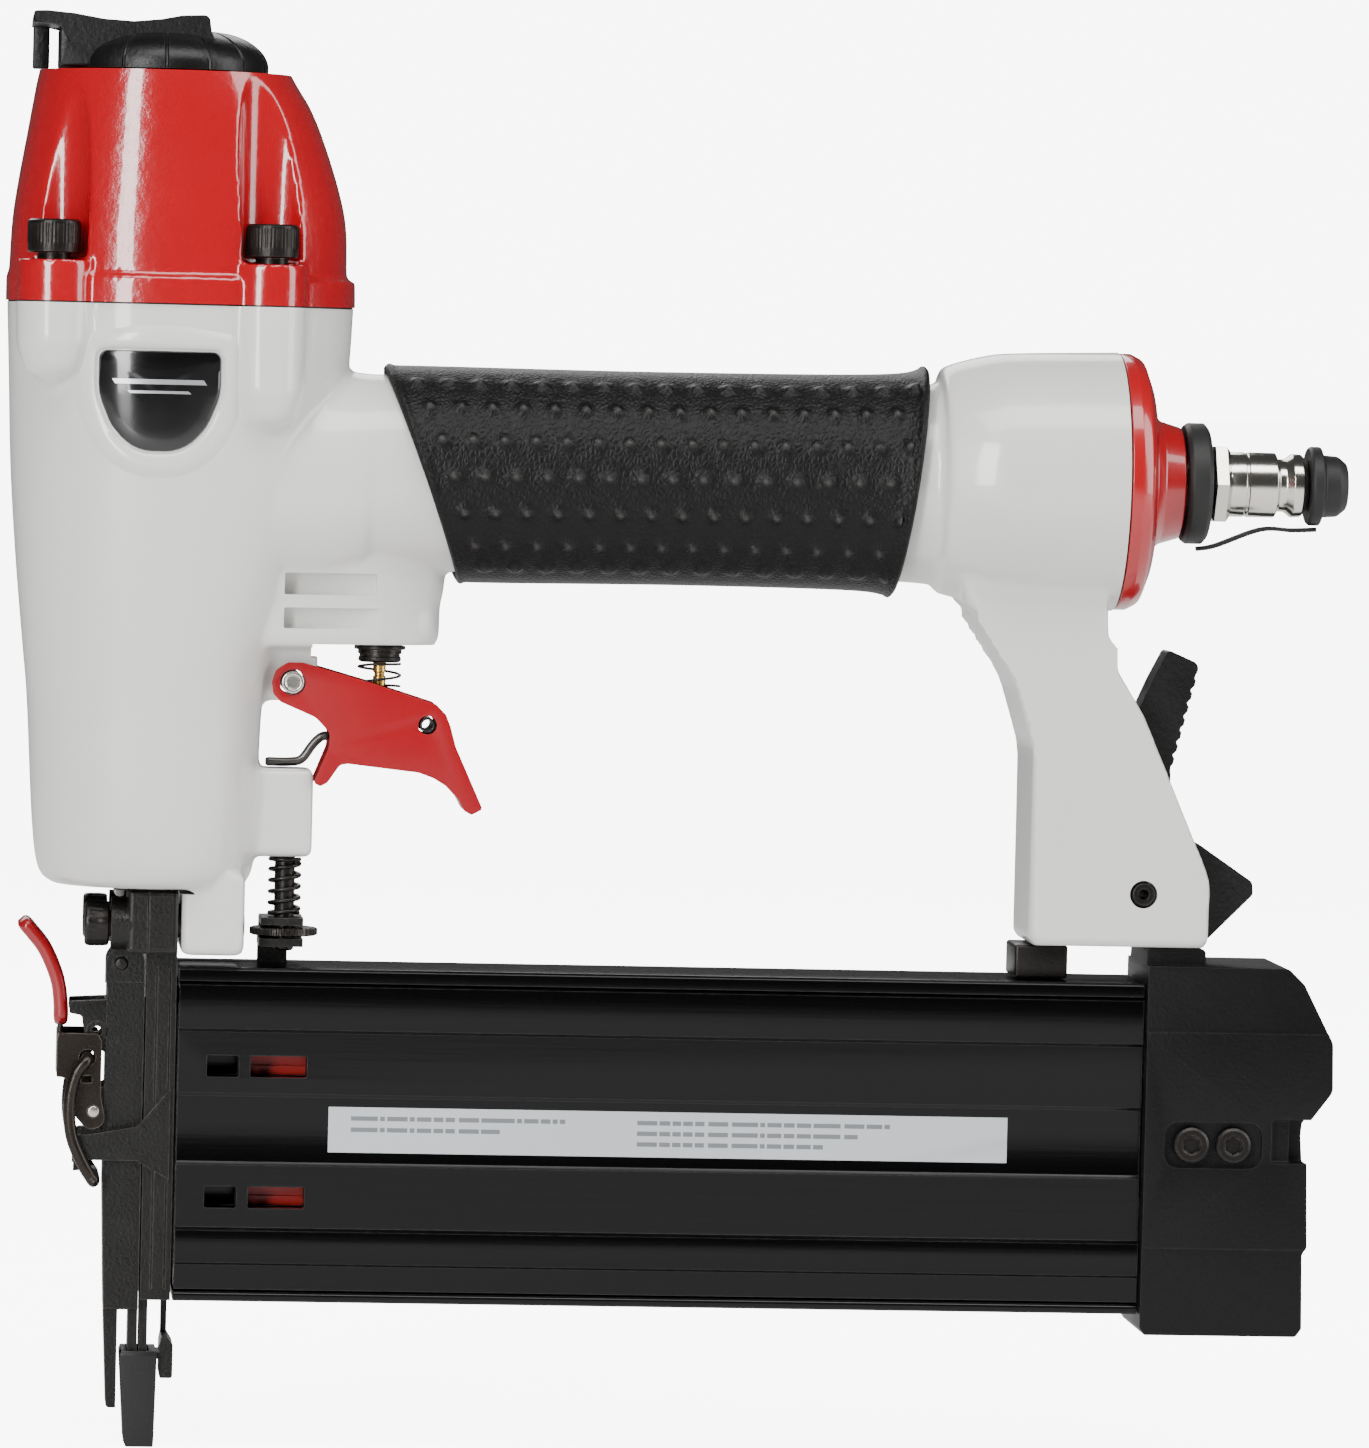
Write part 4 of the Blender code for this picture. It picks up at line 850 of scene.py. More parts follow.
def latch_lever():
    px = LATCH_PIVOT[0]
    lever = bar((-16.2, -8.5, 69.2), (-15.1, 8.5, 77.4), 0.3)
    for side in (-1, 1):
        build_up(lever, cutout([(-16.2, 69.4), (-16.2, 76.6, 1), (-15, 77.4), (-8.6, 77.4, 0.8),
                                (-7.9, 76, 0.8), (-7.9, 66), (px + 2.4, 60.4, 2),
                                (px - 1, 59.3, 2), (-12.6, 62, 2), (-14.4, 69)],
                               *span(side, 7.3, 8.5)))
    tongue = between([(-15.65, 0, 76), (-15.5, 0, 82), (-16.3, 0, 87), (-18.6, 0, 92.4),
                      (-21, 0, 95.4)], 1.0)
    build_up(lever, strip(tongue, 0.5, 3.2))
    for pivot, radius in ((LATCH_PIVOT, LATCH_HOLE), (BAIL_PIVOT, 1.55)):
        machine(lever, across(*pivot, 10, radius))
    machine(lever, bar((-11.6, -10, 68.2), (-9.6, 10, 69.6), 0.3))
    return ease(lever, 0.22)


fit(latch_lever(), "latch_plate", latch_steel, "latch_lever", "black_steel", "latch_lever",
    angle=14)
handle_path = between([(-15.55, 0, 78.4), (-15.55, 0, 82), (-16.3, 0, 87), (-18.6, 0, 92.4),
                       (-21.2, 0, 95.8), (-23.3, 0, 98.1)], 0.5)
fit(strip(handle_path, 1.35, 4.4, True), "latch_vinyl_handle", red_vinyl, "latch_lever",
    "red_vinyl", "latch_handle_sleeve")
fit(cross_pin([(0, -9.1), (1.0, -9.05, 0.3), (1.1, -8.8), (1.1, 8.8), (1.0, 9.05, 0.3), (0, 9.1)],
              LATCH_PIVOT), "latch_rivet", bright_steel, "nose_door", "bright_steel",
    "latch_pivot_pin")

# ---- Latch bail ----------------------------------------------------------------------
# Spring steel wire, bent to a loop. Its ends sit in the lever's eyes and the loop hooks under
# the lips of the nose base.
bx, bz = BAIL_PIVOT
bail_leg = [(bx, 72.9), (-12.4, 70.4), (-13.5, 66.5), (-13.7, 62), (-13, 57.8), (-11.2, 53.6),
            (-9.1, 50.2)]
bail_half = ([(bx, -7.0, bz), (bx, -9.4, bz), (bx - 0.4, -10.5, bz - 0.8)]
             + [(x, -10.7, z) for x, z in bail_leg[1:-1]]
             + [(-9.5, -10.2, 50.8), (-8.9, -8.6, 50.0)])
bail_path = between(bail_half + [(x, -y, z) for x, y, z in reversed(bail_half)], 0.6)
fit(wire(bail_path, 1.15), "bail_wire", latch_steel, "latch_bail", "black_steel", "latch_bail",
    angle=60)

# ---- Contact safety ------------------------------------------------------------------
# A pressed steel arm rides beside the nose. Pushed up by the work through its rubber-black tip,
# it lifts the rod against a spring, and the wire hook on the rod frees the trigger.
def contact_arm():
    arm = build_up(bar((4.4, 3.8, 20), (5.5, 7.8, 88)),
                   cutout([(4.4, 82.4), (26.6, 82.4, 0.8), (26.6, 95.3), (21, 95.3),
                           (21, 85.2, 0.8), (4.4, 85.2)], 3.85, 5.0),
                   bar((21, -4.4, 93.9), (29.2, 7.9, 95.4)),
                   bar((21.3, -4.4, 97.9), (29.2, 7.9, 99.3)),
                   bar((21.2, 6.7, 94.1), (26.4, 7.8, 99.1)),
                   cutout([(4.4, 20.6), (5.5, 20.6), (6.6, 18.9), (6.6, 12.8, 0.5),
                           (4.1, 12.8, 0.5), (4.1, 19)], -4.4, 7.8),
                   bar((3.4, -4.4, 16.4), (4.6, 4.4, 17.6)))
    return ease(machine(arm, upright(ROD_X, 0, 90, 101, 2.25)), 0.25)


fit(contact_arm(), "safety_arm", phosphate, "safety", "phosphate_steel", "contact_arm", angle=14)


def contact_tip():
    def level(z, a, b, w):
        return [(a + (b - a) * (k in (1, 2)), w * (1 if k > 1 else -1), z) for k in range(4)]

    outside = [(0, -1.9, 3.2, 5.7), (1.2, -2.4, 3.3, 5.9), (17.2, -3.4, 3.6, 6.2),
               (18, -3.1, 3.4, 6)]
    inside = [(-1, -1.1, 2.1, 4.95), (7, -2.0, 2.05, 4.95), (20, -2.05, 2.05, 4.95)]
    tip = skin([level(*row) for row in outside])
    machine(tip, skin([level(*row) for row in inside]), bar((3.1, -4.7, 16.1), (5, 4.7, 17.9)))
    return ease(tip, 0.6, 4)


black_tip = finish("black_tip_rubber", (0.002, 0.002, 0.002), 0.36, grain=900.0, relief=0.12,
                   mottle=0.15, dust=0.05)
fit(contact_tip(), "tip_boot", black_tip, "safety", "seal_rubber", "contact_tip", angle=14)
fit(lathe([(0, 93), (1.6, 93, 0.3), (1.9, 93.4), (1.9, 126.6), (1.6, 127), (0, 127)],
          (ROD_X, 0, 0), steps=40), "safety_push_rod", black_oxide, "safety", "black_steel",
    "safety_rod")
hook = between([(21.6, 0, 128.3), (26, 0, 128.3), (28.4, 0, 128.9), (30.4, 0, 131.6),
                (32, 0, 133.1), (33.4, 0, 133.3)], 0.4)
grey_wire = finish("grey_spring_wire", (0.10, 0.095, 0.09), 0.32, metal=0.9, mottle=0.2, dust=0.08)
fit(wire(hook, 0.85), "safety_hook_wire", grey_wire, "safety", "bright_steel", "safety_wire",
    angle=60)

# ---- Depth wheel ---------------------------------------------------------------------
# A thin knurled steel disc with a black oxide finish, on the safety rod's thread. Turning it
# sets how deep the brad is driven.
def depth_wheel():
    wheel = skin([knurled(r, bite, z, 40) for z, r, bite in
                  [(95.9, 5.9, 0), (96.1, 6.35, 0.3), (97.2, 6.35, 0.3), (97.4, 5.9, 0)]])
    wheel.data.transform(Matrix.Translation((ROD_X, 0, 0)))
    return machine(wheel, upright(ROD_X, 0, 95, 99, 2.25))


fit(depth_wheel(), "thumb_wheel", black_oxide, "depth_wheel", "black_steel", "depth_wheel")


def coil(centre, radius, low, high, turns, along="Z", flat=0.6, per_turn=28):
    """Points of a compression spring, its first and last turns closed flat."""
    points = []
    total = turns * per_turn
    for k in range(total + 1):
        a = 2 * pi * k / per_turn
        t = k / total
        grow = min(1, max(0, (t * turns - flat) / (turns - 2 * flat)))
        h = low + (high - low) * grow
        spot = (centre[0] + radius * cos(a), centre[1] + radius * sin(a))
        points.append((*spot, h) if along == "Z" else (h, *spot))
    return points


fit(wire(coil((ROD_X, 0), 2.75, 100.0, 110.1, 6), 0.4, 12), "rod_spring", black_oxide,
    ("safety", "housing", (ROD_X, 0, 98.8), (ROD_X, 0, 111.3)), "black_steel", "safety_spring",
    angle=60)

# ---- Head valve spring ---------------------------------------------------------------
# Two turns of bright spring wire, closed inside the lid. They hold the head valve down on its
# seat.
fit(wire(coil((0, 0), 13, 229.4, 233.1, 2, flat=0.4), 0.6, 12), "head_valve_coil", bright_steel,
    ("head_valve", "housing", (0, 0, 227.8), (0, 0, 234.7)), "bright_steel", "head_valve_spring",
    angle=60)

# ---- Trigger -------------------------------------------------------------------------
# A channel folded from steel sheet and coated satin red, hung on a nickel pin with dished ends.
# A grey rocker inside it turns on a hollow roll pin.
ROCKER_PIVOT = (51.45, 135.9)
satin_red = finish("satin_red", (0.27, 0.001, 0.006), 0.34, coat=0.05, coat_rough=0.2, grain=500.0,
                   relief=0.10, mottle=0.06, edge=(0.50, 0.05, 0.05), edge_amount=0.3, dust=0.03,
                   spec=0.25)
nickel = finish("nickel_plate", (0.62, 0.60, 0.55), 0.16, metal=1.0, grain=900.0, relief=0.05,
                mottle=0.08, rough_spread=0.06, dust=0.05)


def trigger():
    outline = [(22.3, 143.4, 1.2), (22.6, 141.2, 1.2), (24, 139.7, 1), (30.6, 136.9, 3),
               (33.4, 134, 1.8), (33.1, 131.2, 1.5), (30.5, 124.7, 0.5), (31.7, 124.1, 0.5),
               (33, 124.8, 0.7), (35.3, 128.2, 1.4), (36.8, 128.4, 0.5), (50, 127, 3),
               (52.8, 126, 2), (55.3, 124.5, 1.5), (57.5, 122.2, 1.3), (58.7, 120, 0.7),
               (60, 119.3, 0.6), (62.1, 120.4, 0.6), (56.8, 132, 4), (55.8, 135.6, 1.5),
               (54.9, 137.9, 1.2), (53, 139.8, 1.2), (41, 143.5, 6), (28, 147.1, 2),
               (25.2, 147.1, 1.4), (23, 145.6, 1.2)]
    body = cutout(outline, -6.6, 6.6)
    hollow = cutout([(15, 150), (15, 120), (33.6, 120), (35.4, 130, 0.5), (50.6, 128.8, 2),
                     (54.2, 127.4), (56.3, 125.8, 0.6), (56, 128.5), (53.6, 137), (52, 150)], -5.3,
                    5.3)
    machine(body, hollow, across(*TRIGGER_PIVOT, 9, 2.4), across(*ROCKER_PIVOT, 9, 1.75))
    return ease(body, 0.35, 3, angle=50)


fit(trigger(), "trigger_shell", satin_red, "trigger", "red_satin", "trigger", angle=18)
pivot_pin = cross_pin([(0, -6.7), (1.1, -6.7), (1.45, -7.25, 0.3), (2.1, -7.25, 0.3),
                       (2.1, 7.25, 0.3), (1.45, 7.25, 0.3), (1.1, 6.7), (0, 6.7)], TRIGGER_PIVOT,
                      48)
fit(pivot_pin, "trigger_dished_pin", nickel, "housing", "nickel", "trigger_pivot_pin")
roll = cross_pin([(1.0, -6.4, 0.1), (1.45, -6.4, 0.25), (1.45, 6.4, 0.25), (1.0, 6.4, 0.1)],
                 ROCKER_PIVOT)
fit(roll, "rocker_roll_pin", black_oxide, "trigger", "bright_steel", "trigger_roll_pin")
rocker = cutout([(49.5, 134.1, 0.5), (51.4, 133.2, 1), (53.3, 134.6, 0.8), (53.2, 137.6, 1),
                 (49, 137.7), (34.2, 136.4, 0.5), (34.2, 135, 0.5)], -4.4, 4.4, edge=0.25)
machine(rocker, across(*ROCKER_PIVOT, 8, 1.75), bar((38, -3.2, 130), (48, 3.2, 136.05), 0.4))
zinc_sheet = finish("zinc_sheet", (0.55, 0.56, 0.57), 0.34, metal=0.85, relief=0.08, mottle=0.1,
                    dust=0.08)
fit(rocker, "rocker_plate", zinc_sheet, "rocker", "bright_steel", "trigger_rocker")

# ---- Trigger valve -------------------------------------------------------------------
# A black turned bushing pressed into the casting. A brass stem slides in it, with a loose
# return spring round its end.
bush = lathe([(0, 170), (4.1, 170), (4.1, 150.4), (4.8, 150.4, 0.2), (4.8, 149.7, 0.2),
              (4.1, 149.6), (4.1, 148.9), (3.8, 148.8), (3.8, 148.4), (4.0, 148.2),
              (4.0, 147.6, 0.2), (3.6, 147.3), (0, 147.3)], (VALVE_X, 0, 0))
machine(bush, upright(VALVE_X, 0, 146, 171, 1.5))
fit(bush, "valve_bushing", black_oxide, "housing", "black_steel", "trigger_valve_body")
brass = finish("turned_brass", (0.62, 0.38, 0.10), 0.22, metal=1.0, grain=1200.0,
               stretch=(1, 1, 8), relief=0.1, mottle=0.1, dust=0.05)
stem = lathe([(0, 142.6), (0.8, 142.6, 0.3), (1.2, 143), (1.2, 144.6), (0.95, 144.8),
              (0.95, 145.3), (1.2, 145.5), (1.2, 166), (0, 166)], (VALVE_X, 0, 0), steps=40)
fit(stem, "brass_stem", brass, "valve_stem", "brass", "trigger_valve_stem")
fit(wire(coil((VALVE_X, 0), 3.9, 142.8, 147, 2, flat=0.3), 0.25, 10), "trigger_return_spring",
    black_oxide, ("valve_stem", "housing", (VALVE_X, 0, 141.6), (VALVE_X, 0, 148.2)),
    "black_steel", "trigger_spring", angle=60)

# ---- Grip sleeve ---------------------------------------------------------------------
# A soft rubber sleeve shrunk on the handle, moulded with a leather grain and rows of small
# bumps that lean with its slanted front edge.
GRIP_ENDS = [(49.3, 182.65, 20.4, 18.5, 0.35), (60, 182.65, 20.4, 18.5, 0.30),
             (96, 182.75, 20.2, 18.3, 0.10), (132, 182.9, 20.6, 18.7, -0.12),
             (141.2, 183.2, 21.9, 20, -0.13)]
GRIP_GIRTH, GRIP_WALL = 19.4, 1.5
BUMP_PITCH, BUMP_ROW, BUMP_RADIUS, BUMP_RISE = 5.8, 6.5, 1.6, 1.0
BUMP_START, BUMP_LEAN, BUMP_ROWS, BUMP_MARGIN = 54.5, 0.34, 3, 3.2


def grip_sleeve():
    around, step = 260, 0.45
    rows = between(GRIP_ENDS, step)
    rings, bump_highlight = [], []
    for i, (x, middle, tall, wide, lean) in enumerate(rows):
        ring = []
        edge = min(i, len(rows) - 1 - i) * step
        for k in range(around):
            a = 2 * pi * k / around
            along = x - lean * tall * sin(a)
            out = Vector((0, cos(a) / wide, sin(a) / tall)).normalized()
            side = 1 if cos(a) > 0 else -1
            up = GRIP_GIRTH * (a if side > 0 and a < pi else a - 2 * pi if side > 0 else pi - a)
            row = round(up / BUMP_ROW)
            offset = (along - BUMP_START + BUMP_LEAN * row * BUMP_ROW) / BUMP_PITCH
            near = (offset - round(offset)) * BUMP_PITCH
            far = hypot(near, up - row * BUMP_ROW)
            moulded = abs(row) <= BUMP_ROWS and edge > BUMP_MARGIN
            bump = exp(-(far / BUMP_RADIUS) ** 2 * 2.2) if moulded else 0.0
            # Painted highlight: a lighter colour on each bump's top, kept per point for the
            # rubber's shader.
            bump_highlight.append(bump ** 5)
            rim = 0.30 * exp(-((edge - 1.0) / 0.8) ** 2)
            rolled = 0.5 * max(0, 1 - edge / 0.8) ** 2
            rise = BUMP_RISE * bump + (rim - rolled - 0.25)
            ring.append(Vector((along, wide * cos(a), middle + tall * sin(a))) + out * rise)
        rings.append(ring)
    turn = [2 * pi * k / around for k in range(around)]
    inside = [[Vector((x - lean * tall * sin(a), (wide - GRIP_WALL) * cos(a),
                       middle + (tall - GRIP_WALL) * sin(a))) for a in turn]
              for x, middle, tall, wide, lean in between(GRIP_ENDS, 6)]
    obj = skin(rings + inside[::-1] + rings[:1], ends=False)
    # The bump tops' painted highlight goes on the mesh as a point attribute.
    tone_layer = obj.data.attributes.new("painted_bump_highlight", "FLOAT", "POINT")
    tone_layer.data.foreach_set("value", bump_highlight + [0.0] * around * len(inside) + bump_highlight[:around])
    bm = bmesh.new()
    bm.from_mesh(obj.data)
    bmesh.ops.remove_doubles(bm, verts=bm.verts, dist=1e-4)
    bmesh.ops.recalc_face_normals(bm, faces=bm.faces)
    bm.to_mesh(obj.data)
    bm.free()
    return obj


def leather_rubber():
    """Black rubber with a creased leather grain: short ridges between irregular cells, the creases
    painted darker as painted shade and the bump tops painted lighter as painted highlights.
    """
    look, nodes, links, shader = new_look("leather_grain_rubber")
    shader.inputs["Specular IOR Level"].default_value = 0.2
    place = object_place(nodes, links, (1.0, 1.0, 0.70))
    bend = noise_node(nodes, links, place, 420.0, 2.0)
    pushed = nodes.new("ShaderNodeVectorMath")
    pushed.operation = "MULTIPLY_ADD"
    pushed.inputs[1].default_value = (0.0012, 0.0012, 0.0012)
    links.new(bend, pushed.inputs[0])
    links.new(place, pushed.inputs[2])
    cells = nodes.new("ShaderNodeTexVoronoi")
    cells.feature = "DISTANCE_TO_EDGE"
    cells.inputs["Scale"].default_value = 1150.0
    links.new(pushed.outputs[0], cells.inputs["Vector"])
    crease = math_node(nodes, links, "MULTIPLY", cells.outputs["Distance"], 3.2, clamp=True)
    fine = noise_node(nodes, links, place, 2600.0, 3.0, 0.6)
    height = math_node(nodes, links, "MULTIPLY_ADD", fine, 0.35, crease)
    film = place_group(nodes, SETTLED_DUST, Amount=0.02)
    # Painted shade: the creases between the grain's cells are painted darker than the cells.
    tone = mix_colour(nodes, links, crease, (0.0012, 0.0012, 0.0012), (0.0022, 0.0022, 0.0022))
    # Painted highlight: the bump tops are painted a lighter grey than the rubber around them.
    painted_bump_highlight = nodes.new("ShaderNodeAttribute")
    painted_bump_highlight.attribute_name = "painted_bump_highlight"
    tone = mix_colour(nodes, links,
                      math_node(nodes, links, "MULTIPLY", painted_bump_highlight.outputs["Fac"], 0.8), tone,
                      (0.055, 0.054, 0.050))
    links.new(mix_colour(nodes, links, film.outputs["Mask"], tone, (0.06, 0.058, 0.052)),
              shader.inputs["Base Color"])
    links.new(math_node(nodes, links, "MULTIPLY_ADD", fine, 0.24, 0.34),
              shader.inputs["Roughness"])
    emboss(nodes, links, shader, height, 0.30)
    return look


fit(grip_sleeve(), "grip_cover", leather_rubber(), "housing", "grip_rubber", "grip_sleeve",
    angle=70)

# ---- Handle end cap ------------------------------------------------------------------
# A die-cast aluminium disc, coated gloss red, that closes the handle's air reservoir. The air
# nipple screws into its boss.
end_disc = lathe([(0, 171.5), (19, 171.5, 0.5), (19, 180.3), (24.1, 180.3, 0.3),
                  (24.1, 182.4, 0.8), (23.0, 184.5, 1.6), (19, 186, 3), (13.4, 186.6, 1.6),
                  (11.6, 188.4, 1.0), (10.4, 192.4, 0.6), (0, 192.4)], (0, 0, HANDLE_Z), "X", 120)
machine(end_disc, pin((182, 0, HANDLE_Z), (194, 0, HANDLE_Z), 6.3),
        pin((170, 0, HANDLE_Z), (183, 0, HANDLE_Z), 16))
end_red = finish("end_cap_red", (0.33, 0.002, 0.006), 0.24, coat=0.7, coat_rough=0.06, grain=300.0,
                 relief=0.12, mottle=0.08, mottle_scale=35.0, edge=(0.52, 0.05, 0.03),
                 edge_amount=0.3, dust=0.06)
fit(end_disc, "handle_end_disc", end_red, "housing", "red_paint", "handle_end_cap")

# ---- Air nipple ----------------------------------------------------------------------
# A quick-connect plug turned from hexagon bar and nickel plated. Its thread screws into the
# handle's end cap.
plug = lathe([(3.2, 184), (3.2, 216.3), (4.9, 216.3, 0.3), (5.9, 215.3, 0.4), (6, 213.6, 0.3),
              (4.95, 212.2, 0.6), (4.95, 210.9, 0.4), (6.1, 210.4, 0.3), (6.1, 205.2),
              (5.95, 205.0), (5.95, 204.6), (6.1, 204.4), (6.1, 201.7), (6.0, 201.5),
              (6.0, 184)][::-1], (0, 0, HANDLE_Z), "X", 96)
nut = machine(aim(lathe([(0, 0), (7.0, 0), (8.1, 0.75), (8.1, 2.9), (7.0, 3.6), (0, 3.6)],
                        steps=6), (197.9, 0, HANDLE_Z), (1, 0, 0)),
              pin((190, 0, HANDLE_Z), (210, 0, HANDLE_Z), 5))
fit(build_up(plug, nut), "air_plug", nickel, "housing", "nickel", "air_fitting")

# ---- Dust cap ------------------------------------------------------------------------
# Moulded rubber: a ring on the nipple's neck, a thin strap, and a plug that keeps dirt out of
# the nipple.
ring = lathe([(6.6, 192.9, 0.4), (6.6, 197.5, 0.4), (10.4, 197.5, 0.6), (11.4, 196.7, 0.5),
              (11.4, 193.7, 0.5), (10.8, 192.9, 0.4)][::-1], (0, 0, HANDLE_Z), "X", 96)
fit(ring, "rubber_ring", seal_rubber, "housing", "seal_rubber", "dust_cap_ring")
cap_plug = lathe([(0, 206), (2.8, 206, 0.4), (2.8, 216.7), (7.1, 216.7, 0.4), (7.45, 217.2, 0.3),
                  (7.45, 219.0, 0.4), (5.9, 219.6, 0.5), (5.7, 222.4, 1.2), (4.3, 224.1, 0.9),
                  (0, 224.1)], (0, 0, HANDLE_Z), "X", 96)
fit(cap_plug, "dust_plug", seal_rubber, "dust_cap", "seal_rubber", "dust_cap")
strap_path = between([(196, 0, HANDLE_Z - 12.3), (199.5, 0, HANDLE_Z - 11.6),
                      (208, 0, HANDLE_Z - 8.4), (214, 0, HANDLE_Z - 8.4),
                      (218.5, 0, HANDLE_Z - 8.2)], 0.6)
fit(strip(strap_path, 0.4, 1.6), "dust_strap", seal_rubber,
    ("housing", "dust_cap", (197, 0, HANDLE_Z), (217.5, 0, HANDLE_Z)), "seal_rubber",
    "dust_cap_strap")

# ---- Magazine rail -------------------------------------------------------------------
# The fixed half of the magazine: a black-anodised aluminium extrusion screwed to the nose and,
# through a steel bracket, to the rear leg.
RAIL_FRONT, RAIL_END, RAIL_LOW, RAIL_TOP = 6.05, 186.7, 28.2, 90.4
anodised = finish("black_anodised", (0.0006, 0.0006, 0.0008), 0.17, metal=0.0, grain=900.0,
                  stretch=(0.02, 1, 1), relief=0.05, mottle=0.12, mottle_scale=40.0,
                  rough_spread=0.06, edge=(0.16, 0.16, 0.17), edge_width=0.0003, edge_amount=0.35,
                  dust=0.006, spec=0.22)


def magazine_rail():
    low, high = RAIL_LOW, RAIL_TOP
    rail = cutout([(-12, high - 0.5), (-11.5, high), (11.4, high), (12, high - 0.8), (12, 79),
                   (11.4, 78.4), (11.4, 67), (10.8, 66.4), (10.8, 54.2), (11.4, 53.6), (11.4, 42),
                   (12, 41.4), (12, low + 0.8), (11.4, low), (-11.6, low), (-12, low + 0.4),
                   (-12, low + 1.4), (-11.6, low + 1.8), (CHANNEL, low + 1.8), (CHANNEL, 81.4),
                   (5.7, 81.4), (5.7, 87.8), (-12, 87.8)], RAIL_FRONT, RAIL_END, "X")
    machine(rail, bar((RAIL_FRONT - 1, 6.6, 32), (RAIL_END + 1, 10.2, 79)),
            bar((RAIL_FRONT - 1, 3.5, 80), (28.4, 5.5, 92)))
    return ease(rail, 0.2)


fit(magazine_rail(), "rail_extrusion", anodised, "housing", "black_anodised", "magazine_rail",
    angle=14)
fit(bar((162.7, -7, 90.7), (172.7, 7, 97.0), 0.6), "rail_bracket", black_oxide, "housing",
    "black_steel", "magazine_bracket")

# ---- Sliding magazine half -----------------------------------------------------------
# The near half, another anodised extrusion, draws back for loading. Long steps run along it and
# four windows show how many brads are left.
END_SCREWS, END_SCREW_Z = (195.95, 203.85), 60.5
WINDOW_ROWS, WINDOW_SPANS = ((70, 74), (45.6, 49.6)), ((11.6, 17.5), (19.7, 30.2))


def magazine_cover():
    low = RAIL_LOW
    side = [(87.4, 11.6), (87.1, 12), (79, 12), (78.4, 11.2), (67, 11.2), (66.4, 10.6),
            (54.2, 10.6), (53.6, 11.2), (42, 11.2), (41.4, 12), (35.4, 12), (35, 11.4),
            (low + 2.2, 11.4)]
    cover = cutout([(-y, z) for z, y in side] + [(-CHANNEL, low + 2.2), (-CHANNEL, 87.4)],
                   RAIL_FRONT + 0.2, RAIL_END, "X")
    machine(cover, bar((RAIL_FRONT - 1, -9, 34), (RAIL_END + 1, -5, 84)))
    for bottom, top in WINDOW_ROWS:
        for start, end in WINDOW_SPANS:
            machine(cover, bar((start, -14, bottom), (end, -3, top), 0.35))
    build_up(cover, bar((RAIL_END - 6, -9.6, 50), (210, -6.4, 72)))
    for x in END_SCREWS:
        machine(cover, pin((x, -14, END_SCREW_Z), (x, 0, END_SCREW_Z), 2.2))
    return ease(cover, 0.18)


fit(magazine_cover(), "cover_extrusion", anodised, "magazine_slide", "black_anodised",
    "magazine_cover", angle=14)

# ---- Magazine label ------------------------------------------------------------------
# A thin silver foil, stuck on the sliding half and lifting a little at one corner. Plain grey
# bars stand for its print.
LABEL_X, LABEL_LONG, LABEL_Z, LABEL_TALL = 34.4, 127.2, 56.2, 8.5


def label_sheet():
    bm = bmesh.new()
    columns, rows = 110, 12
    grid = []
    for j in range(rows + 1):
        line = []
        for i in range(columns + 1):
            x, z = LABEL_X + LABEL_LONG * i / columns, LABEL_Z + LABEL_TALL * j / rows
            corner = max(0.0, (x - 139) / 22.6 - (z - LABEL_Z) / 4.6)
            line.append(bm.verts.new((x, -10.69 - 0.14 * min(1.0, corner * 2.5), z)))
        grid.append(line)
    for one, two in zip(grid, grid[1:]):
        for i in range(columns):
            bm.faces.new((one[i], one[i + 1], two[i + 1], two[i]))
    obj = raw(bm)
    thick = obj.modifiers.new("thick", "SOLIDIFY")
    thick.thickness, thick.offset = 0.06, 0
    return harden(obj)


def label_foil():
    look = finish("label_foil", (0.52, 0.55, 0.57), 0.36, metal=0.45, grain=1800.0, relief=0.05,
                  mottle=0.05, mottle_scale=20.0, dust=0.08)
    nodes, links = look.node_tree.nodes, look.node_tree.links
    shader = nodes["Principled BSDF"]
    under = shader.inputs["Base Color"].links[0].from_socket
    place = nodes.new("ShaderNodeSeparateXYZ")
    links.new(object_place(nodes, links), place.inputs[0])

    def inside(axis, low, high):
        above = math_node(nodes, links, "GREATER_THAN", place.outputs[axis], low)
        below = math_node(nodes, links, "LESS_THAN", place.outputs[axis], high)
        return math_node(nodes, links, "MULTIPLY", above, below)

    ink = None
    for x0, x1, z in [(38.6, 78.6, 62.6), (38.6, 66.4, 60.5), (91.5, 139.5, 62.6),
                      (91.5, 133.5, 60.6), (91.5, 127.0, 58.6)]:
        line = math_node(nodes, links, "MULTIPLY",
                         inside(0, DRIVER_X + x0 * MM, DRIVER_X + x1 * MM),
                         inside(2, (z - 0.42) * MM, (z + 0.42) * MM))
        ink = line if ink is None else math_node(nodes, links, "MAXIMUM", ink, line)
    gaps = noise_node(nodes, links, object_place(nodes, links, (1.0, 0.0, 0.0)), 900.0, 0.0)
    broken = math_node(nodes, links, "GREATER_THAN", gaps, 0.40)
    ink = math_node(nodes, links, "MULTIPLY", ink, broken)
    ink = math_node(nodes, links, "MULTIPLY", ink, 0.8)
    links.new(mix_colour(nodes, links, ink, under, (0.10, 0.11, 0.12)),
              shader.inputs["Base Color"])
    return look


fit(label_sheet(), "foil_label", label_foil(), "magazine_slide", "label_foil", "magazine_label")

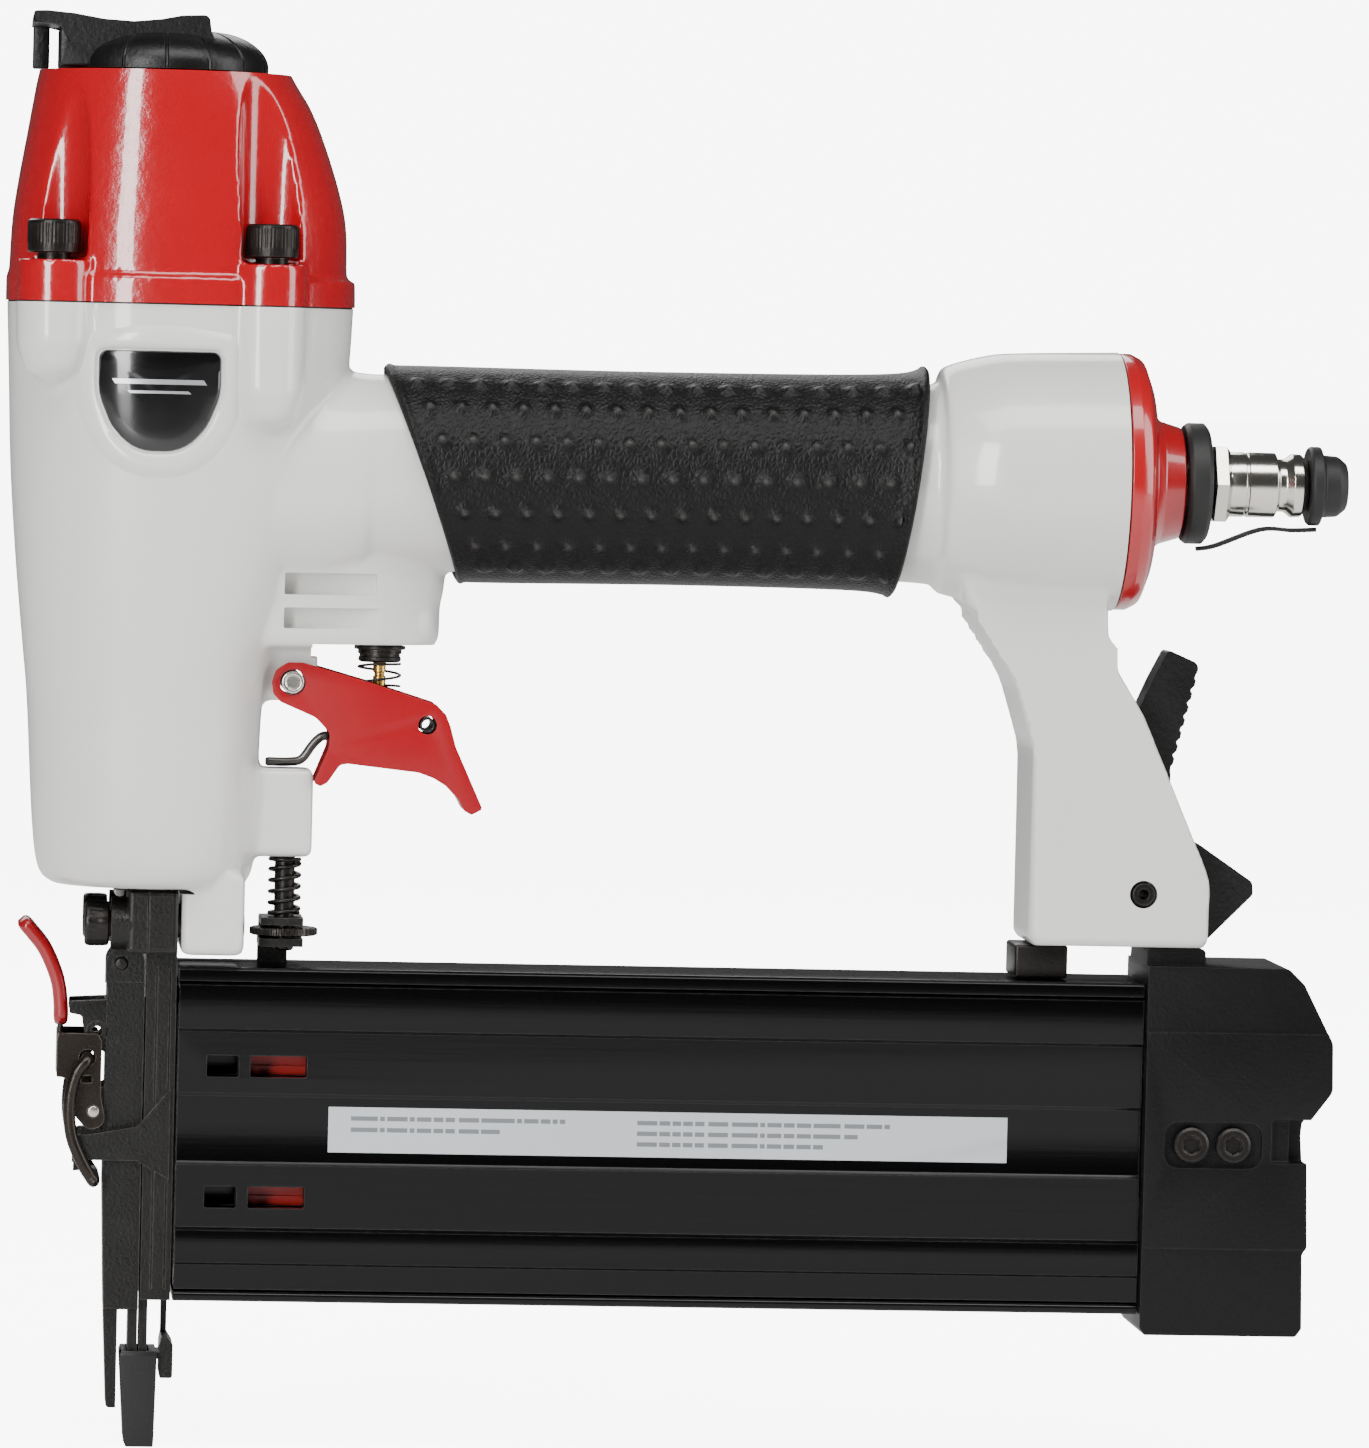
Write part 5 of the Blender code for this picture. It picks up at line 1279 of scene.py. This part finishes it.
# ---- Magazine end cap ----------------------------------------------------------------
# A satin nylon block, moulded with a stepped rear for the thumb. Two M4 socket screws fix it to
# the sliding half.
def end_block():
    outline = [(187.05, 26, 0.6), (188, 24.6), (216.6, 24.6, 0.8), (217.7, 26.2), (217.4, 40, 1),
               (218.2, 41.5, 1), (217.8, 56.4), (217.4, 62, 1), (217.6, 64.4, 1.5),
               (222.4, 70.8, 2.5), (222.2, 80, 3), (216.6, 90.9, 1.5), (213.6, 93.8, 1.5),
               (198.3, 93.8, 0.4), (198.2, 97, 0.8), (187.2, 97, 0.6), (187.05, 93)]
    block = cutout(outline, -14.8, 14.8)
    for side in (-1, 1):
        near, far = span(side, 14.25, 20)
        for low, high in ((81.6, 98), (23, 41)):
            machine(block, bar((186, near, low), (230, far, high)))
    for y in (-15, 15):
        machine(block, bar((211, y - 2.2, 57.3), (219, y + 2.2, 65.5), 0.6))
    machine(block, bar((186, -9.9, 49.7), (210.4, -6.1, 72.3)),
            bar((214.6, -17, 57.3), (219, -9, 65.5), 0.5),
            bar((214.6, 9, 57.3), (219, 17, 65.5), 0.5),
            cutout([(190.8, 56.2, 2.6), (209.2, 56.2, 2.6), (209.2, 64.8, 2.6),
                    (190.8, 64.8, 2.6)], -16, -13.2), bar((186, -20, 93.9), (200, -11, 99)),
            bar((186, 11, 93.9), (200, 20, 99)))
    ease(block, 0.7, 4)
    for x in END_SCREWS:
        machine(block, pin((x, -16, END_SCREW_Z), (x, -9, END_SCREW_Z), 2.2))
    return block


end_nylon = finish("end_cap_nylon", (0.0020, 0.0020, 0.0023), 0.40, grain=1500.0, relief=0.30,
                   mottle=0.15, mottle_scale=70.0, rough_spread=0.06, edge=(0.07, 0.07, 0.07),
                   edge_width=0.0004, edge_amount=0.35, dust=0.012, spec=0.2)
fit(end_block(), "end_cap_block", end_nylon, "magazine_slide", "black_plastic", "magazine_end_cap",
    angle=12)
for number, x in enumerate(END_SCREWS, 1):
    fit(aim(socket_screw(3.5, 1.7, 1.9, 6.8, 1.6, 1.2, 20), (x, -13.5, END_SCREW_Z), (0, -1, 0)),
        f"end_cap_bolt_{number}", black_oxide, "magazine_slide", "black_steel",
        f"end_cap_screw_{number}")

# ---- Pusher --------------------------------------------------------------------------
# A red moulded slide that a long spring presses against the brads. Two ribs on its side show in
# the windows.
PUSHER_BORE_Z = 40


def pusher():
    slide = bar((8.6, -3.1, 31.2), (46, 3.1, 79.6), 0.3)
    machine(slide, pin((18, 0, PUSHER_BORE_Z), (50, 0, PUSHER_BORE_Z), 2.6))
    for middle in (72, 47.6):
        machine(slide, bar((10, -4, middle - 0.45), (44, -2.0, middle + 0.45)),
                bar((9.4, -4, middle - 3.2), (44.5, -2.4, middle - 1.75)),
                bar((9.4, -4, middle + 1.75), (44.5, -2.4, middle + 3.2)),
                bar((8, -4, middle - 4), (18.6, 4, middle + 4)))
    return slide


red_plastic = finish("red_plastic", (0.42, 0.010, 0.006), 0.34, grain=700.0, relief=0.08,
                     mottle=0.08, dust=0.06)
fit(pusher(), "pusher_slide", red_plastic, "pusher", "red_plastic", "pusher")
fit(wire(coil((0, PUSHER_BORE_Z), 1.9, 20.2, 186, 9, "X"), 0.4, 12), "pusher_long_spring",
    bright_steel, ("pusher", "magazine_slide", (8, 0, PUSHER_BORE_Z), (197, 0, PUSHER_BORE_Z)),
    "bright_steel", "pusher_spring", angle=60)

# ---- Release lever -------------------------------------------------------------------
# A black moulded rocker on a roll pin in the leg's slot. Its serrated top is pressed against a
# small spring to free the magazine.
def release_lever():
    front = [(184.6, 103), (182.6, 107.2, 3), (184.2, 112, 2), (186.6, 120, 4), (186.4, 134, 4),
             (185, 140.8, 3), (187.7, 147, 3)]
    rear = [(190.65, 152.8, 0.8), (197.4, 149.9, 1.5)]
    teeth, count = [], 7
    top, low = Vector((196.2, 147.6)), Vector((191.9, 130.4))
    for k in range(count):
        here = top.lerp(low, k / count)
        after = top.lerp(low, (k + 0.62) / count)
        teeth += [(here.x - 0.9, here.y), (here.x - 0.15, here.y - 0.45),
                  (after.x - 0.05, after.y, 0.3), (after.x - 0.9, after.y - 0.35)]
    base = [(191.7, 129.6), (191.5, 119, 3), (197.3, 116.4, 2), (207.7, 109.4, 1.2),
            (207.9, 107, 1.2), (199.4, 98.4, 1.5), (190, 98.6, 1.5)]
    lever = cutout(rear + teeth + base + front, -4.2, 4.2, edge=0.4)
    return machine(lever, across(*RELEASE_PIVOT, 8, 2.6))


fit(release_lever(), "release_rocker", black_nylon, "release_lever", "black_plastic",
    "release_lever")
fit(cross_pin([(1.0, -13.3, 0.1), (2.0, -13.3, 0.3), (2.25, -12.9), (2.25, 12.9), (2.0, 13.3, 0.3),
               (1.0, 13.3, 0.1)], RELEASE_PIVOT, 48), "release_roll_pin", black_oxide, "housing",
    "black_steel", "release_pin")
RELEASE_SPRING_Z = 126
fit(wire(coil((0, RELEASE_SPRING_Z), 1.8, 180.9, 185.7, 3, "X"), 0.35, 12),
    "release_return_spring", bright_steel,
    ("housing", "release_lever", (180.4, 0, RELEASE_SPRING_Z), (186.2, 0, RELEASE_SPRING_Z)),
    "bright_steel", "release_spring", angle=60)

# ---- Studio --------------------------------------------------------------------------
# A plain pale floor under soft boxes: a tall one to the left, a wide one overhead, dimmer ones
# to the right and behind. The camera stands a little to the left and just above level.
FLOOR_GLOW, ROOM_GLOW = (7.5, 0.16), (8.2, 0.07)
LENS, SENSOR, CAMERA_DISTANCE = 211.3, 36.0, 1.5942


def soft_box(name, place, target, width, height, power):
    light = bpy.data.lights.new(name, "AREA")
    light.shape, light.size, light.size_y, light.energy = "RECTANGLE", width, height, power
    obj = bpy.data.objects.new(name, light)
    bpy.context.scene.collection.objects.link(obj)
    obj.location = place
    obj.rotation_euler = (Vector(target) - Vector(place)).to_track_quat("-Z", "Y").to_euler()


def only_seen(nodes, links, seen, lit):
    """A strength for what is looked at straight, and another for what lights the object."""
    path = nodes.new("ShaderNodeLightPath")
    return math_node(nodes, links, "MULTIPLY_ADD", path.outputs["Is Camera Ray"], seen - lit, lit)


def studio():
    bm = bmesh.new()
    corners = [bm.verts.new(p) for p in ((-6, -4, 0), (6, -4, 0), (6, 30, 0), (-6, 30, 0))]
    bm.faces.new(corners)
    bmesh.ops.subdivide_edges(bm, edges=bm.edges[:], cuts=6, use_grid_fill=True)
    floor = raw(bm, "paper_floor")
    paper, nodes, links, shader = new_look("white_paper")
    tooth = noise_node(nodes, links, object_place(nodes, links), 40.0, 4.0)
    links.new(mix_colour(nodes, links, tooth, (0.86, 0.86, 0.86), (0.90, 0.90, 0.90)),
              shader.inputs["Base Color"])
    shader.inputs["Roughness"].default_value = 0.95
    shader.inputs["Specular IOR Level"].default_value = 0.1
    shader.inputs["Emission Color"].default_value = (1, 1, 1, 1)
    links.new(only_seen(nodes, links, *FLOOR_GLOW), shader.inputs["Emission Strength"])
    floor.data.materials.append(paper)

    soft_box("left_box", (-0.75, -1.25, 0.55), (0.0, 0.0, 0.16), 0.30, 1.0, 24)
    soft_box("overhead_box", (0.1, -0.55, 1.15), (0.05, 0.0, 0.16), 1.3, 0.45, 16)
    soft_box("right_box", (1.15, -0.35, 0.55), (0.0, 0.0, 0.16), 0.5, 1.1, 12)
    soft_box("rear_box", (-0.3, 1.1, 0.9), (0.0, 0.0, 0.16), 1.2, 0.6, 10)
    world = bpy.context.scene.world or bpy.data.worlds.new("room")
    bpy.context.scene.world = world
    world.use_nodes = True
    nodes, links = world.node_tree.nodes, world.node_tree.links
    nodes["Background"].inputs["Color"].default_value = (1, 1, 1, 1)
    links.new(only_seen(nodes, links, *ROOM_GLOW), nodes["Background"].inputs["Strength"])

    lens = bpy.data.cameras.new("camera")
    lens.lens, lens.sensor_width = LENS, SENSOR
    camera = bpy.data.objects.new("camera", lens)
    bpy.context.scene.collection.objects.link(camera)
    azimuth, elevation, roll = radians(-5.0), radians(2.5), radians(1.38)
    back = Vector((sin(azimuth) * cos(elevation), -cos(azimuth) * cos(elevation), sin(elevation)))
    right = Vector((cos(azimuth), sin(azimuth), 0))
    up = back.cross(right)
    right, up = right * cos(roll) + up * sin(roll), up * cos(roll) - right * sin(roll)
    target = Vector((DRIVER_X + 0.10004, 0, 0.13683))
    stand = target + back * CAMERA_DISTANCE
    camera.matrix_world = Matrix(((right.x, up.x, back.x, stand.x),
                                  (right.y, up.y, back.y, stand.y),
                                  (right.z, up.z, back.z, stand.z), (0, 0, 0, 1)))
    bpy.context.scene.camera = camera


studio()
